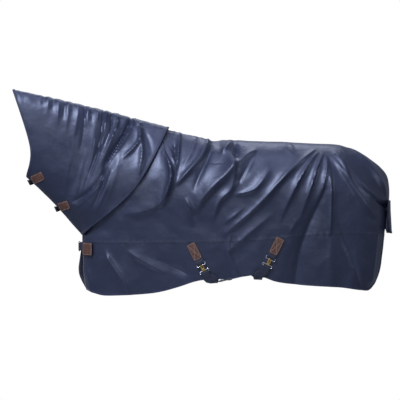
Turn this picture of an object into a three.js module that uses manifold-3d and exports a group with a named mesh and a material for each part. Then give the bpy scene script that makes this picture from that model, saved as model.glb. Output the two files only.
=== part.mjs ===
// A turnout rug with a neck cover, standing as it does on a horse, in millimetres.
// +Z is up, the head end points to -X and the tail end to +X. The horse's left side, the near
// side, is -Y. The origin is at the withers, where the rug lies on the horse's back.
import * as THREE from "three";
import { mergeVertices } from "three/addons/utils/BufferGeometryUtils.js";
import Module from "manifold-3d";

const wasm = await Module();
wasm.setup();

// ---------------------------------------------------------------- driving dimensions
const backLength = 1400; // withers to tail, straight
const rugDrop = 1000; // withers to the lowest hem
const bodyHalfWidth = 325; // over the barrel, at its widest
const pollX = -0.64143 * backLength; // front top corner of the neck cover
const pollZ = 0.224 * rugDrop;
const throatX = -0.58214 * backLength; // front bottom corner of the neck cover
const throatZ = -0.31 * rugDrop;
const neckHalfWidth = 118; // half the width of the neck tube, at its middle
const throatGap = 8; // left open between the two edges under the throat
const chestGap = 14; // left open between the two front edges

const shellThickness = 2.5; // coated outer fabric
const liningThickness = 2;
const layerGap = 0.8; // between the outer fabric and the lining
const seamGap = 1.6; // between panels, where the seam would draw them together
const collarClearance = 0.052 * bodyHalfWidth; // between the collar and the body of the rug under it
const bindingWidth = 22;
const bindingThickness = 1.2;
const bindingLift = 2.5; // off the panel, whose flats it bridges
const lowerPanelShare = 0.29; // of the drop, the lower panel's height
const webbingWidth = 50;
const webbingThickness = 2.2;
const leatherThickness = 2.5;
const looseFit = 0.5; // between layers that lie on each other

const tailFlapHalfWidth = 170;
const tailFlapLength = 200;
const tailFlapLean = 6; // of its foot away from the rug
const tailFlapCurve = 0.0009; // per millimetre, of its sides round the quarters

const surcinglePatchLength = 105;
const surcinglePatchWidth = webbingWidth + 3;
const chestPatchLength = 86;
const chestPatchWidth = 74;
const neckPatchLength = 83;
const neckPatchWidth = 54;

const loopWidth = webbingWidth + 12; // across the strap, outside
const loopLength = 16; // along the strap, outside
const loopWire = 3.5;
const plateWidth = 26;
const plateThickness = 7;
const slotLength = 18.5;
const slotWidth = 8;
const hookHeadLength = 16;
const hookStem = 5;
const barClearance = 0.4; // round a loop's bar inside its brass casting
const fastenerHeight = 10; // of the fastener's middle above the fabric

const sliderLength = 40; // along the strap
const sliderBar = 4;

// ---------------------------------------------------------------- materials
const fabric = (color, roughness) => new THREE.MeshStandardMaterial({ color, roughness });
const metal = (color) => new THREE.MeshStandardMaterial({ color, roughness: 0.3, metalness: 1 });
const shellFabric = fabric(0x2b3552, 0.45);
const liningFabric = fabric(0x1c2233, 0.8);
const bindingTape = fabric(0x20283f, 0.7);
const leather = fabric(0x6b4a3e, 0.65);
const webbing = fabric(0x1f2433, 0.85);
const nickel = metal(0xc9cbd0);
const brass = metal(0xc9a45a);

// ---------------------------------------------------------------- outlines, seen from the side
// Points of the body are given in shares of the back length and of the drop.
const side = (x, z) => new THREE.Vector2(x * backLength, z * rugDrop);
const outline = (...points) => new THREE.SplineCurve(points.map(([x, z]) => side(x, z)));

// The stretch of a line between two of its points, counted from 0.
function stretch(line, from, to) {
  const last = line.points.length - 1;
  return { getPoint: (t) => line.getPoint((from + (to - from) * t) / last) };
}

// A line from a to b that bows to its left by a distance, most at the share peak.
function bowedLine(a, b, bow, peak) {
  const chord = b.clone().sub(a);
  const left = new THREE.Vector2(-chord.y, chord.x).normalize();
  const middle = a.clone().addScaledVector(chord, peak).addScaledVector(left, bow);
  return new THREE.SplineCurve([a, middle, b]);
}

const neckline = outline([-0.341, -0.6], [-0.286, -0.5], [-0.193, -0.37], [-0.107, -0.235],
  [-0.045, -0.11], [-0.004, -0.012]);
const spinePoints = [[0, -0.008], [0.03, -0.022], [0.107, -0.052], [0.214, -0.078],
  [0.371, -0.088], [0.571, -0.1], [0.739, -0.11], [0.809, -0.132], [0.86, -0.163],
  [0.907, -0.206], [0.949, -0.249], [0.979, -0.295], [0.99, -0.35], [0.993, -0.45]];
const topLine = outline(...spinePoints);
const shoulderSeam = outline([0, -0.008], [0.036, -0.28], [0.047, -0.7]);
const shoulderRear = outline([-0.004, -0.012], [0.036, -0.28], [0.047, -0.7]);
const bellySeam = outline([-0.339, -0.702], [-0.176, -0.702], [0.047, -0.7], [0.407, -0.684],
  [0.729, -0.645], [0.963, -0.655]);
const chestSeam = outline([-0.176, -0.702], [-0.176, -0.86], [-0.176, -1.022]);
const chestHem = outline([-0.318, -0.993], [-0.254, -1.023], [-0.176, -1.022]);
const hem = outline([-0.176, -1.022], [-0.066, -1.013], [0.005, -0.998], [0.076, -0.971],
  [0.171, -0.93], [0.283, -0.92], [0.371, -0.903], [0.404, -0.898], [0.446, -0.912],
  [0.502, -0.938], [0.6, -0.956], [0.763, -0.97], [0.86, -0.989], [0.897, -0.989],
  [0.925, -0.954]);
const frontEdge = outline([-0.341, -0.6], [-0.34, -0.65], [-0.339, -0.702]);
const rearEdge = outline([0.993, -0.45], [0.987, -0.51], [0.975, -0.58], [0.963, -0.655]);
const quarterEdge = outline([0.963, -0.655], [0.958, -0.746], [0.946, -0.876], [0.925, -0.954]);
const chestEdge = {
  near: outline([-0.339, -0.702], [-0.333, -0.849], [-0.318, -0.993]),
  off: outline([-0.339, -0.702], [-0.353, -0.88], [-0.318, -0.993]),
};

const poll = new THREE.Vector2(pollX, pollZ);
const throat = new THREE.Vector2(throatX, throatZ);
const collarTop = side(0.036, -0.008);
const collarFoot = side(-0.341, -0.66);
const crest = bowedLine(poll, collarTop, 8, 0.45);
const throatLine = bowedLine(throat, collarFoot, 10, 0.45);
const pollEdge = bowedLine(poll, throat, 55, 0.68);
const collarEdge = bowedLine(collarTop, collarFoot, 78, 0.5);

// A smooth surface of points in the side view between four edges: u runs from head to tail, v
// from top to bottom.
function between(top, bottom, front, rear) {
  const corners = [top.getPoint(0), top.getPoint(1), bottom.getPoint(0), bottom.getPoint(1)];
  return (u, v) => {
    const [t, b, f, r] = [top.getPoint(u), bottom.getPoint(u), front.getPoint(v), rear.getPoint(v)];
    const mix = (key) =>
      (1 - v) * t[key] + v * b[key] + (1 - u) * f[key] + u * r[key]
      - (1 - u) * (1 - v) * corners[0][key] - u * (1 - v) * corners[1][key]
      - (1 - u) * v * corners[2][key] - u * v * corners[3][key];
    return [mix("x"), mix("y")];
  };
}

// ---------------------------------------------------------------- how wide the rug stands
// A smooth line through rows of [place, value], level beyond its ends.
function tableLine(rows) {
  const spline = new THREE.SplineCurve(rows.map(([place, value]) => new THREE.Vector2(place, value)));
  const samples = spline.getPoints(rows.length * 12);
  return (place) => {
    if (place <= samples[0].x) return samples[0].y;
    for (let i = 1; i < samples.length; i++) {
      const [a, b] = [samples[i - 1], samples[i]];
      if (place <= b.x) return a.y + ((b.y - a.y) * (place - a.x)) / (b.x - a.x || 1);
    }
    return samples[samples.length - 1].y;
  };
}

const widthShare = tableLine([[-0.343, 0.56], [-0.18, 0.66], [0, 0.76], [0.214, 0.91],
  [0.464, 1], [0.714, 0.985], [1, 0.86]]);
const shoulderDepth = tableLine([[-0.343, 0.45], [0, 0.45], [0.464, 0.32], [1, 0.34]]);
const roundness = tableLine([[-0.343, 0.6], [0, 0.8], [0.214, 0.62], [0.464, 0.5], [1, 0.5]]);
const spineHeight = tableLine([[-0.66, 0.19], [-0.34, 0.088], [-0.1, 0.022], ...spinePoints]);
const rearLine = tableLine([[-1, 0.936], [-0.954, 0.944], [-0.876, 0.964], [-0.746, 0.976],
  [-0.655, 0.981], [-0.58, 0.989], [-0.51, 0.9935], [-0.45, 0.994], [0, 0.994]]);
const chestLine = {
  near: tableLine([[-1, -0.318], [-0.849, -0.333], [-0.702, -0.339], [-0.6, -0.341],
    [-0.45, -0.43], [-0.3, -0.51], [0, -0.62]]),
  off: tableLine([[-1, -0.318], [-0.88, -0.353], [-0.702, -0.339], [-0.6, -0.341],
    [-0.45, -0.43], [-0.3, -0.51], [0, -0.62]]),
};
const chestRound = 260; // over which the front curves in to its edge
const rumpRound = 200; // and the rear
const skirtTuck = 0.05; // how far the hem draws in under the barrel

const arc = (share) => Math.sqrt(Math.max(0, 1 - (1 - Math.min(1, Math.max(0, share))) ** 2));

// Half the width of the body at a point of the side view, or of a shape that stands clear of it.
function bodyWidth(x, z, flank, clear = 0) {
  const [along, down] = [x / backLength, z / rugDrop];
  const depth = (spineHeight(along) * rugDrop + clear - z) / (shoulderDepth(along) * rugDrop + clear);
  const top = arc(depth) ** (2 * roundness(along));
  const front = arc((x - chestLine[flank](down) * backLength + clear) / (chestRound + clear));
  const rear = arc((rearLine(down) * backLength - x) / rumpRound);
  const tuck = 1 - skirtTuck * (Math.max(0, -down - 0.55) / 0.45) ** 2;
  const width = widthShare(along) * bodyHalfWidth * tuck + clear;
  return Math.max(chestGap / 2, width * top * front * rear);
}

const neckWidthShare = tableLine([[0, 0.8], [0.35, 0.95], [0.7, 1.08], [1, 1.15]]);

// Half the width of the neck cover: an oval tube that flares into a collar clear of the body.
function neckWidth(u, v, x, z, flank) {
  const oval = neckHalfWidth * neckWidthShare(u) * Math.sqrt(Math.max(0, 1 - (2 * v - 1) ** 2));
  const flare = THREE.MathUtils.smoothstep(u, 0.35, 0.8) * Math.min(1, v * 20);
  const collar = bodyWidth(x, z, flank, collarClearance) * flare;
  const wider = Math.max(oval, collar);
  const blend = Math.abs(oval - collar) < 60 ? (60 - Math.abs(oval - collar)) ** 2 / 240 : 0;
  const closed = Math.min(1, v * 8) * Math.min(1, (1 - v) * 8);
  return Math.max(v > 0.5 ? throatGap / 2 : seamGap / 2, wider + blend * closed);
}

const flanks = { near: -1, off: 1 };
const patches = {
  shoulder: between(neckline, stretch(bellySeam, 0, 2), frontEdge, shoulderRear),
  back: between(topLine, stretch(bellySeam, 2, 5), shoulderSeam, rearEdge),
  chest: {
    near: between(stretch(bellySeam, 0, 1), chestHem, chestEdge.near, chestSeam),
    off: between(stretch(bellySeam, 0, 1), chestHem, chestEdge.off, chestSeam),
  },
  lower: between(stretch(bellySeam, 1, 5), hem, chestSeam, quarterEdge),
  neck: between(crest, throatLine, pollEdge, collarEdge),
};

// Surfaces in space: each takes u and v and gives a point of the outer face.
function bodySurface(patch, flank) {
  return (u, v) => {
    const [x, z] = patch(u, v);
    return new THREE.Vector3(x, flanks[flank] * bodyWidth(x, z, flank), z);
  };
}

function neckSurface(flank) {
  return (u, v) => {
    const [x, z] = patches.neck(u, v);
    return new THREE.Vector3(x, flanks[flank] * neckWidth(u, v, x, z, flank), z);
  };
}

// ---------------------------------------------------------------- sheets and ribbons
// A closed solid between two grids of points.
function solidBetween(outer, inner, turned) {
  const [rows, columns] = [outer.length, outer[0].length];
  const positions = [outer, inner].flat(2).flatMap((p) => [p.x, p.y, p.z]);
  const index = [];
  const at = (layer, i, j) => layer * rows * columns + i * columns + j;
  const quad = (a, b, c, d) => (turned ? index.push(a, c, b, a, d, c) : index.push(a, b, c, a, c, d));
  for (let i = 0; i < rows - 1; i++)
    for (let j = 0; j < columns - 1; j++) {
      quad(at(0, i, j), at(0, i, j + 1), at(0, i + 1, j + 1), at(0, i + 1, j));
      quad(at(1, i, j), at(1, i + 1, j), at(1, i + 1, j + 1), at(1, i, j + 1));
    }
  for (let j = 0; j < columns - 1; j++) {
    quad(at(1, 0, j), at(1, 0, j + 1), at(0, 0, j + 1), at(0, 0, j));
    quad(at(0, rows - 1, j), at(0, rows - 1, j + 1), at(1, rows - 1, j + 1), at(1, rows - 1, j));
  }
  for (let i = 0; i < rows - 1; i++) {
    quad(at(0, i, 0), at(0, i + 1, 0), at(1, i + 1, 0), at(1, i, 0));
    quad(at(1, i, columns - 1), at(1, i + 1, columns - 1), at(0, i + 1, columns - 1),
      at(0, i, columns - 1));
  }
  const geometry = new THREE.BufferGeometry();
  geometry.setAttribute("position", new THREE.Float32BufferAttribute(positions, 3));
  geometry.setIndex(index);
  const volume = signedVolume(geometry);
  return volume < 0 ? solidBetween(outer, inner, !turned) : geometry;
}

function signedVolume(geometry) {
  const points = geometry.getAttribute("position");
  const [a, b, c] = [new THREE.Vector3(), new THREE.Vector3(), new THREE.Vector3()];
  let sum = 0;
  for (let i = 0; i < geometry.index.count; i += 3) {
    a.fromBufferAttribute(points, geometry.index.getX(i));
    b.fromBufferAttribute(points, geometry.index.getX(i + 1));
    c.fromBufferAttribute(points, geometry.index.getX(i + 2));
    sum += a.dot(b.cross(c));
  }
  return sum;
}

// The outward normal of the body at a point of its surface.
function bodyNormal(point, flank) {
  const step = 2;
  const [x, z] = [point.x, point.z];
  const slopeX = bodyWidth(x + step, z, flank) - bodyWidth(x - step, z, flank);
  const slopeZ = bodyWidth(x, z + step, flank) - bodyWidth(x, z - step, flank);
  const normal = new THREE.Vector3(-slopeX, 2 * step * flanks[flank], -slopeZ).normalize();
  normal.y *= Math.min(1, Math.abs(point.y) / 20); // level where the two sides meet
  return normal.normalize();
}

// The outward normal at each point of a grid. Where level, the first and last rows keep their
// normals in the side view's plane, because two halves meet there.
function gridNormals(grid, outward, level = false) {
  const [lastRow, lastColumn] = [grid.length - 1, grid[0].length - 1];
  return grid.map((row, i) => row.map((point, j) => {
    const down = grid[Math.min(i + 1, lastRow)][j].clone().sub(grid[Math.max(i - 1, 0)][j]);
    const along = row[Math.min(j + 1, lastColumn)].clone().sub(row[Math.max(j - 1, 0)]);
    const normal = down.cross(along).normalize();
    if (normal.dot(outward(point)) < 0) normal.negate();
    if (level && (i === 0 || i === lastRow)) normal.setY(0).normalize();
    return normal;
  }));
}

const offsetGrid = (grid, normals, distance) =>
  grid.map((row, i) => row.map((p, j) => p.clone().addScaledVector(normals[i][j], distance)));

// A layer of a grid, from one height above its face to another.
function layer(grid, normals, from, to) {
  return solidBetween(offsetGrid(grid, normals, to), offsetGrid(grid, normals, from), false);
}

const outwardFrom = (flank) => () => new THREE.Vector3(0, flanks[flank], 0);
const upward = () => new THREE.Vector3(0, 0, 1);

const evenly = (share) => share;
const closeToStart = (share) => 1 - Math.cos((share * Math.PI) / 2);
const closeToEnd = (share) => Math.sin((share * Math.PI) / 2);
const closeToBoth = (share) => (1 - Math.cos(share * Math.PI)) / 2;

// Points of a surface in rows and columns, kept half a seam gap inside its edges.
function gridOf(surface, rows, columns, rowSpacing, columnSpacing) {
  const inset = seamGap / 2;
  const sizeAlong = surface(0, 0.5).distanceTo(surface(1, 0.5));
  const sizeDown = surface(0.5, 0).distanceTo(surface(0.5, 1));
  const hold = (share, size) => THREE.MathUtils.clamp(share, inset / size, 1 - inset / size);
  return Array.from({ length: rows + 1 }, (_, i) =>
    Array.from({ length: columns + 1 }, (_, j) =>
      surface(hold(columnSpacing(j / columns), sizeAlong), hold(rowSpacing(i / rows), sizeDown))));
}

// A strip of rectangular section along points, with the direction across it at each.
function ribbon(points, across, width, thickness) {
  const last = points.length - 1;
  const sides = [[], []];
  points.forEach((point, i) => {
    const along = points[Math.min(i + 1, last)].clone().sub(points[Math.max(i - 1, 0)]).normalize();
    const wide = across[i].clone().addScaledVector(along, -across[i].dot(along)).normalize();
    const thick = wide.clone().cross(along).normalize();
    for (const [k, sign] of [[0, 1], [1, -1]])
      sides[k].push([-1, 1].map((edge) => point.clone()
        .addScaledVector(wide, (edge * width) / 2)
        .addScaledVector(thick, (sign * thickness) / 2)));
  });
  return solidBetween(sides[0], sides[1], false);
}

// ---------------------------------------------------------------- booleans
function toSolid(geometry) {
  const bare = geometry.clone();
  bare.deleteAttribute("normal");
  bare.deleteAttribute("uv");
  const merged = mergeVertices(bare, 1e-4);
  return new wasm.Manifold(new wasm.Mesh({
    numProp: 3,
    vertProperties: new Float32Array(merged.attributes.position.array),
    triVerts: new Uint32Array(merged.index.array),
  }));
}

function toGeometry(solid) {
  const mesh = solid.getMesh();
  const geometry = new THREE.BufferGeometry();
  geometry.setAttribute("position", new THREE.Float32BufferAttribute(mesh.vertProperties, 3));
  geometry.setIndex(new THREE.BufferAttribute(mesh.triVerts, 1));
  return geometry;
}

const join = (...pieces) => toGeometry(pieces.map(toSolid).reduce((a, b) => a.add(b)));
const cut = (piece, hole) => toGeometry(toSolid(piece).subtract(toSolid(hole)));

function block(x, y, z, sizeX, sizeY, sizeZ) {
  return new THREE.BoxGeometry(sizeX, sizeY, sizeZ).translate(x, y, z);
}

function roundedOutline(path, centreX, length, width, radius) {
  const [left, right] = [centreX - length / 2, centreX + length / 2];
  const half = width / 2;
  path.moveTo(left + radius, -half);
  path.lineTo(right - radius, -half);
  path.absarc(right - radius, -half + radius, radius, -Math.PI / 2, 0);
  path.lineTo(right, half - radius);
  path.absarc(right - radius, half - radius, radius, 0, Math.PI / 2);
  path.lineTo(left + radius, half);
  path.absarc(left + radius, half - radius, radius, Math.PI / 2, Math.PI);
  path.lineTo(left, -half + radius);
  path.absarc(left + radius, -half + radius, radius, Math.PI, Math.PI * 1.5);
  return path;
}

function plate(centreX, length, width, radius, thickness, hole) {
  const shape = roundedOutline(new THREE.Shape(), centreX, length, width, radius);
  if (hole) shape.holes.push(roundedOutline(new THREE.Path(), ...hole));
  const settings = { depth: thickness, bevelEnabled: false, curveSegments: 3 };
  return new THREE.ExtrudeGeometry(shape, settings).translate(0, 0, -thickness / 2);
}

// ---------------------------------------------------------------- the assembly
const rug = new THREE.Group();

function add(name, geometry, material, parent = rug) {
  const mesh = new THREE.Mesh(geometry, material);
  mesh.name = name;
  parent.add(mesh);
  return mesh;
}

const liningTop = -(shellThickness + layerGap);
const liningBottom = liningTop - liningThickness;

// An outer panel and the lining behind it, off the same grid.
function addPanel(name, grid, normals) {
  add(name + "_panel", layer(grid, normals, -shellThickness, 0), shellFabric);
  add(name + "_lining", layer(grid, normals, liningBottom, liningTop), liningFabric);
}

// The back panel goes over the spine in one piece, from belly seam to belly seam.
const backSides = Object.keys(flanks).map((flank) =>
  gridOf(bodySurface(patches.back, flank), 7, 20, closeToStart, closeToEnd));
const spineRow = gridOf((u) => {
  const point = topLine.getPoint(u);
  return new THREE.Vector3(point.x, 0, point.y);
}, 1, 20, evenly, closeToEnd)[0];
const normalsOf = (grid, flank) => grid.map((row) => row.map((p) => bodyNormal(p, flank)));
const backNormals = backSides.map((grid, i) => normalsOf(grid, Object.keys(flanks)[i]));
const spineNormals = gridNormals([backSides[0][1], spineRow, backSides[1][1]], upward)[1];
const overSpine = ([near, off], middle) => [...near.slice(1).reverse(), middle, ...off.slice(1)];
addPanel("back", overSpine(backSides, spineRow), overSpine(backNormals, spineNormals));

for (const flank of Object.keys(flanks)) {
  const outward = outwardFrom(flank);
  const shoulder = gridOf(bodySurface(patches.shoulder, flank), 7, 8, closeToStart, closeToStart);
  addPanel(flank + "_shoulder", shoulder, normalsOf(shoulder, flank));

  const chest = gridOf(bodySurface(patches.chest[flank], flank), 3, 7, evenly, closeToStart);
  addPanel(flank + "_chest", chest, normalsOf(chest, flank));

  const lowerSurface = bodySurface(patches.lower, flank);
  const lower = gridOf(lowerSurface, 3, 22, evenly, closeToEnd);
  addPanel(flank + "_lower", lower, normalsOf(lower, flank));

  // The binding tape runs along the hem, on the outside of the lower panel.
  const bindingShare = bindingWidth / (lowerPanelShare * rugDrop);
  const tape = gridOf((u, v) => lowerSurface(u, 1 - bindingShare * (1 - v)), 1, 22, evenly, closeToEnd);
  const tapeNormals = normalsOf(tape, flank);
  const tapeSolid = layer(tape, tapeNormals, bindingLift, bindingLift + bindingThickness);
  add(flank + "_hem_binding", tapeSolid, bindingTape);

  const neck = gridOf(neckSurface(flank), 10, 14, closeToBoth, evenly);
  addPanel(flank + "_neck", neck, gridNormals(neck, outward, true));
}

// The tail flap hangs from the end of the back, in front of the gap between the quarters.
const tailHingeX = 0.9985 * backLength;
const tailHingeZ = -0.452 * rugDrop;
const flapColumns = 8;
const flapGrid = [0, 1, 2, 3].map((row) => Array.from({ length: flapColumns + 1 }, (_, i) => {
  const y = (i / flapColumns - 0.5) * 2 * tailFlapHalfWidth;
  const x = tailHingeX + (row / 3) * tailFlapLean - tailFlapCurve * y * y;
  return new THREE.Vector3(x, y, tailHingeZ - (row / 3) * tailFlapLength);
}));
const flapNormals = gridNormals(flapGrid, () => new THREE.Vector3(1, 0, 0));
add("tail_flap", layer(flapGrid, flapNormals, -shellThickness, 0), shellFabric);

// ---------------------------------------------------------------- places on the surfaces
// The shares u and v at which a surface shows a point of the side view.
function sharesAt(surface, x, z) {
  let [u, v] = [0.5, 0.5];
  const step = 1e-3;
  for (let turn = 0; turn < 40; turn++) {
    const here = surface(u, v);
    const alongU = surface(u + step, v).sub(here).divideScalar(step);
    const alongV = surface(u, v + step).sub(here).divideScalar(step);
    const [dx, dz] = [x - here.x, z - here.z];
    const area = alongU.x * alongV.z - alongV.x * alongU.z;
    u = THREE.MathUtils.clamp(u + (0.8 * (dx * alongV.z - dz * alongV.x)) / area, 0, 0.999);
    v = THREE.MathUtils.clamp(v + (0.8 * (alongU.x * dz - alongU.z * dx)) / area, 0, 0.999);
  }
  return [u, v];
}

const onNeck = (flank) => (x, z) => neckSurface(flank)(...sharesAt(neckSurface(flank), x, z));
const onBody = (flank) => (x, z) =>
  new THREE.Vector3(x, flanks[flank] * bodyWidth(x, z, flank), z);

// Axes on a surface at a point of the side view: down the strap, across it, and out.
function axesAt(place, x, z, tilt) {
  const reach = 12; // far enough to even out the faceted slope
  const origin = place(x, z);
  const slopeX = place(x + reach, z).sub(place(x - reach, z)).normalize();
  const slopeZ = place(x, z + reach).sub(place(x, z - reach)).normalize();
  const out = slopeX.clone().cross(slopeZ).normalize();
  if (out.y * origin.y < 0) out.negate();
  const down = new THREE.Vector3(Math.sin(tilt), 0, -Math.cos(tilt));
  down.addScaledVector(out, -down.dot(out)).normalize();
  const across = out.clone().cross(down);
  const at = (along, wide, height) => origin.clone().addScaledVector(down, along)
    .addScaledVector(across, wide).addScaledVector(out, height);
  return { origin, down, across, out, at };
}

// Points on a surface under a rectangle laid on it, in seven rows and columns, with normals.
function gridUnder(place, axes, centre, length, width) {
  const steps = [-1, -2 / 3, -1 / 3, 0, 1 / 3, 2 / 3, 1];
  const grid = steps.map((row) => steps.map((column) => {
    const flat = axes.at(centre + (row * length) / 2, (column * width) / 2, 0);
    return place(flat.x, flat.z);
  }));
  return { grid, normals: gridNormals(grid, () => axes.out) };
}

// A leather patch that follows the surface under it, raised by a height.
function addPatch(name, place, axes, centre, length, width, height) {
  const { grid, normals } = gridUnder(place, axes, centre, length, width);
  add(name, layer(grid, normals, height, height + leatherThickness), leather);
}

const degrees = Math.PI / 180;
const patchOnWebbing = 2 * webbingThickness + 3 * looseFit + 1.3; // over both legs of a tab
const patchOnFabric = 3.3; // over the flats of the panel

// ---------------------------------------------------------------- T-hook fasteners
// Along the strap from the fastener's middle: the tab's loop, the plate with its slot, the hook
// and the belly strap's loop.
const tabLoopCentre = -14;
const strapLoopCentre = 31;
const barOffset = (loopLength - loopWire) / 2;
const plateStart = tabLoopCentre + barOffset - loopWire / 2 - 2.5;
const slotEnd = slotLength - 3.5;
const plateEnd = slotEnd + 4;
const stemCentre = slotEnd - looseFit - hookStem / 2;
const hookBar = strapLoopCentre - barOffset;

const loopHole = [loopLength - 2 * loopWire, loopWidth - 2 * loopWire, 1];
const wireLoop = (centre) =>
  plate(centre, loopLength, loopWidth, 3, loopWire, [centre, ...loopHole]);
const barHole = (centre) => {
  const size = loopWire + 2 * barClearance;
  return block(centre, 0, 0, size, loopWidth, size);
};

function slotPlate() {
  const middle = (plateStart + plateEnd) / 2;
  const hole = [slotEnd - slotLength / 2, slotLength, slotWidth, 2];
  const body = plate(middle, plateEnd - plateStart, plateWidth, 4, plateThickness, hole);
  return cut(body, barHole(tabLoopCentre + barOffset));
}

function tHook() {
  const armTop = -plateThickness / 2 - looseFit;
  const armThickness = 3;
  const headBottom = plateThickness / 2 + looseFit;
  const headThickness = 2.5;
  const armStart = stemCentre - hookStem / 2;
  const castStart = plateEnd + looseFit;
  const castEnd = hookBar + loopWire / 2 + 3;
  const castLength = castEnd - castStart;
  const castBottom = armTop - armThickness;
  const castHeight = plateThickness / 2 - castBottom;
  const castMiddle = (plateThickness / 2 + castBottom) / 2;
  const arm = block((armStart + castEnd) / 2, 0, armTop - armThickness / 2,
    castEnd - armStart, hookHeadLength, armThickness);
  const stemHeight = headBottom - armTop + 2;
  const stem = block(stemCentre, 0, (headBottom + armTop) / 2, hookStem, hookStem, stemHeight);
  const head = block(stemCentre, 0, headBottom + headThickness / 2,
    hookStem, hookHeadLength, headThickness);
  const casting = block((castStart + castEnd) / 2, 0, castMiddle, castLength, plateWidth - 2, castHeight);
  return cut(join(arm, stem, head, casting), barHole(hookBar));
}

// Puts a fastener's pieces, modelled flat, into the axes of their place.
function addFastener(prefix, axes) {
  const frame = new THREE.Group();
  const turned = new THREE.Matrix4().makeBasis(axes.down, axes.across, axes.out);
  frame.quaternion.setFromRotationMatrix(turned);
  frame.position.copy(axes.at(0, 0, fastenerHeight));
  rug.add(frame);
  add(prefix + "_slot_loop", wireLoop(tabLoopCentre), nickel, frame);
  add(prefix + "_slot_plate", slotPlate(), brass, frame);
  add(prefix + "_t_hook", tHook(), brass, frame);
  add(prefix + "_hook_loop", wireLoop(strapLoopCentre), nickel, frame);
}

// The turn of the webbing round a bar, as [along, height] from its inner leg to its outer one.
const turnRadius = Math.hypot(loopWire, loopWire) / 2 + looseFit + webbingThickness / 2;
function turnRound(bar, direction, lean = 0) {
  return [-90, -45, 0, 45, 90].map((angle) => [
    bar + direction * turnRadius * Math.cos((angle + lean) * degrees),
    fastenerHeight + turnRadius * Math.sin((angle + lean) * degrees),
  ]);
}

const innerLeg = looseFit + webbingThickness / 2;
const outerLeg = innerLeg + webbingThickness + looseFit;

// A folded tab from under its patch, round the loop's bar and back.
function addTab(name, place, axes, patchCentre, patchLength) {
  const bar = tabLoopCentre - barOffset;
  const rootEnd = patchCentre - patchLength * 0.3;
  const edge = patchCentre + patchLength / 2;
  const onFabric = ([along, height]) => {
    const flat = axes.at(along, 0, 0);
    return place(flat.x, flat.z).addScaledVector(axes.out, height);
  };
  const inner = [rootEnd, patchCentre, edge - 4].map((along) => onFabric([along, innerLeg]));
  const turn = turnRound(bar, 1).map(([along, height]) => axes.at(along, 0, height));
  const outer = [edge - 4, patchCentre, rootEnd].map((along) => onFabric([along, outerLeg]));
  const points = [...inner, ...turn, ...outer];
  const across = points.map(() => axes.across);
  add(name, ribbon(points, across, webbingWidth, webbingThickness), webbing);
}

// ---------------------------------------------------------------- belly straps
// Each strap hooks on at the near side, crosses under the belly and is sewn on the off side.
const strapPlaces = {
  front: { x: 0.181 * backLength, z: -0.848 * rugDrop, tilt: 27 * degrees, patchCentre: -101 },
  rear: { x: 0.467 * backLength, z: -0.811 * rugDrop, tilt: -26 * degrees, patchCentre: -97 },
};
const bellyHeight = { front: -0.887 * rugDrop, rear: -0.872 * rugDrop };
const offEndDrop = { front: 4, rear: 84 }; // of the strap's far end, so that it swings clear of the hem
const offStrapStart = 4; // below the patch it comes from
const hemTurnReach = 68; // along the rug, from a fastener to where its strap turns under the hem
const bellyFlatShare = 0.72; // of the rug's width, over which a strap lies flat under the belly
const flatInset = 22; // of the flat stretch's ends, along the rug
const nearEndDrop = 16;
const sliderShare = 0.74; // of the flat stretch, where the slider sits

const nearAxes = {};
const offAxes = {};
for (const end of ["front", "rear"]) {
  const spot = strapPlaces[end];
  nearAxes[end] = axesAt(onBody("near"), spot.x, spot.z, spot.tilt);
  offAxes[end] = axesAt(onBody("off"), spot.x, spot.z, spot.tilt);
  addPatch(`near_${end}_surcingle_patch`, onBody("near"), nearAxes[end], spot.patchCentre,
    surcinglePatchLength, surcinglePatchWidth, patchOnWebbing);
  addPatch(`off_${end}_surcingle_patch`, onBody("off"), offAxes[end], spot.patchCentre,
    surcinglePatchLength, surcinglePatchWidth, patchOnFabric);
  addFastener(end, nearAxes[end]);
  addTab(`near_${end}_tab`, onBody("near"), nearAxes[end], spot.patchCentre, surcinglePatchLength);
}

// The height of the hem over a place along the rug.
function hemHeight(x) {
  const points = hem.getPoints(200);
  return points.reduce((best, p) => (Math.abs(p.x - x) < Math.abs(best.x - x) ? p : best)).y;
}

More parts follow.
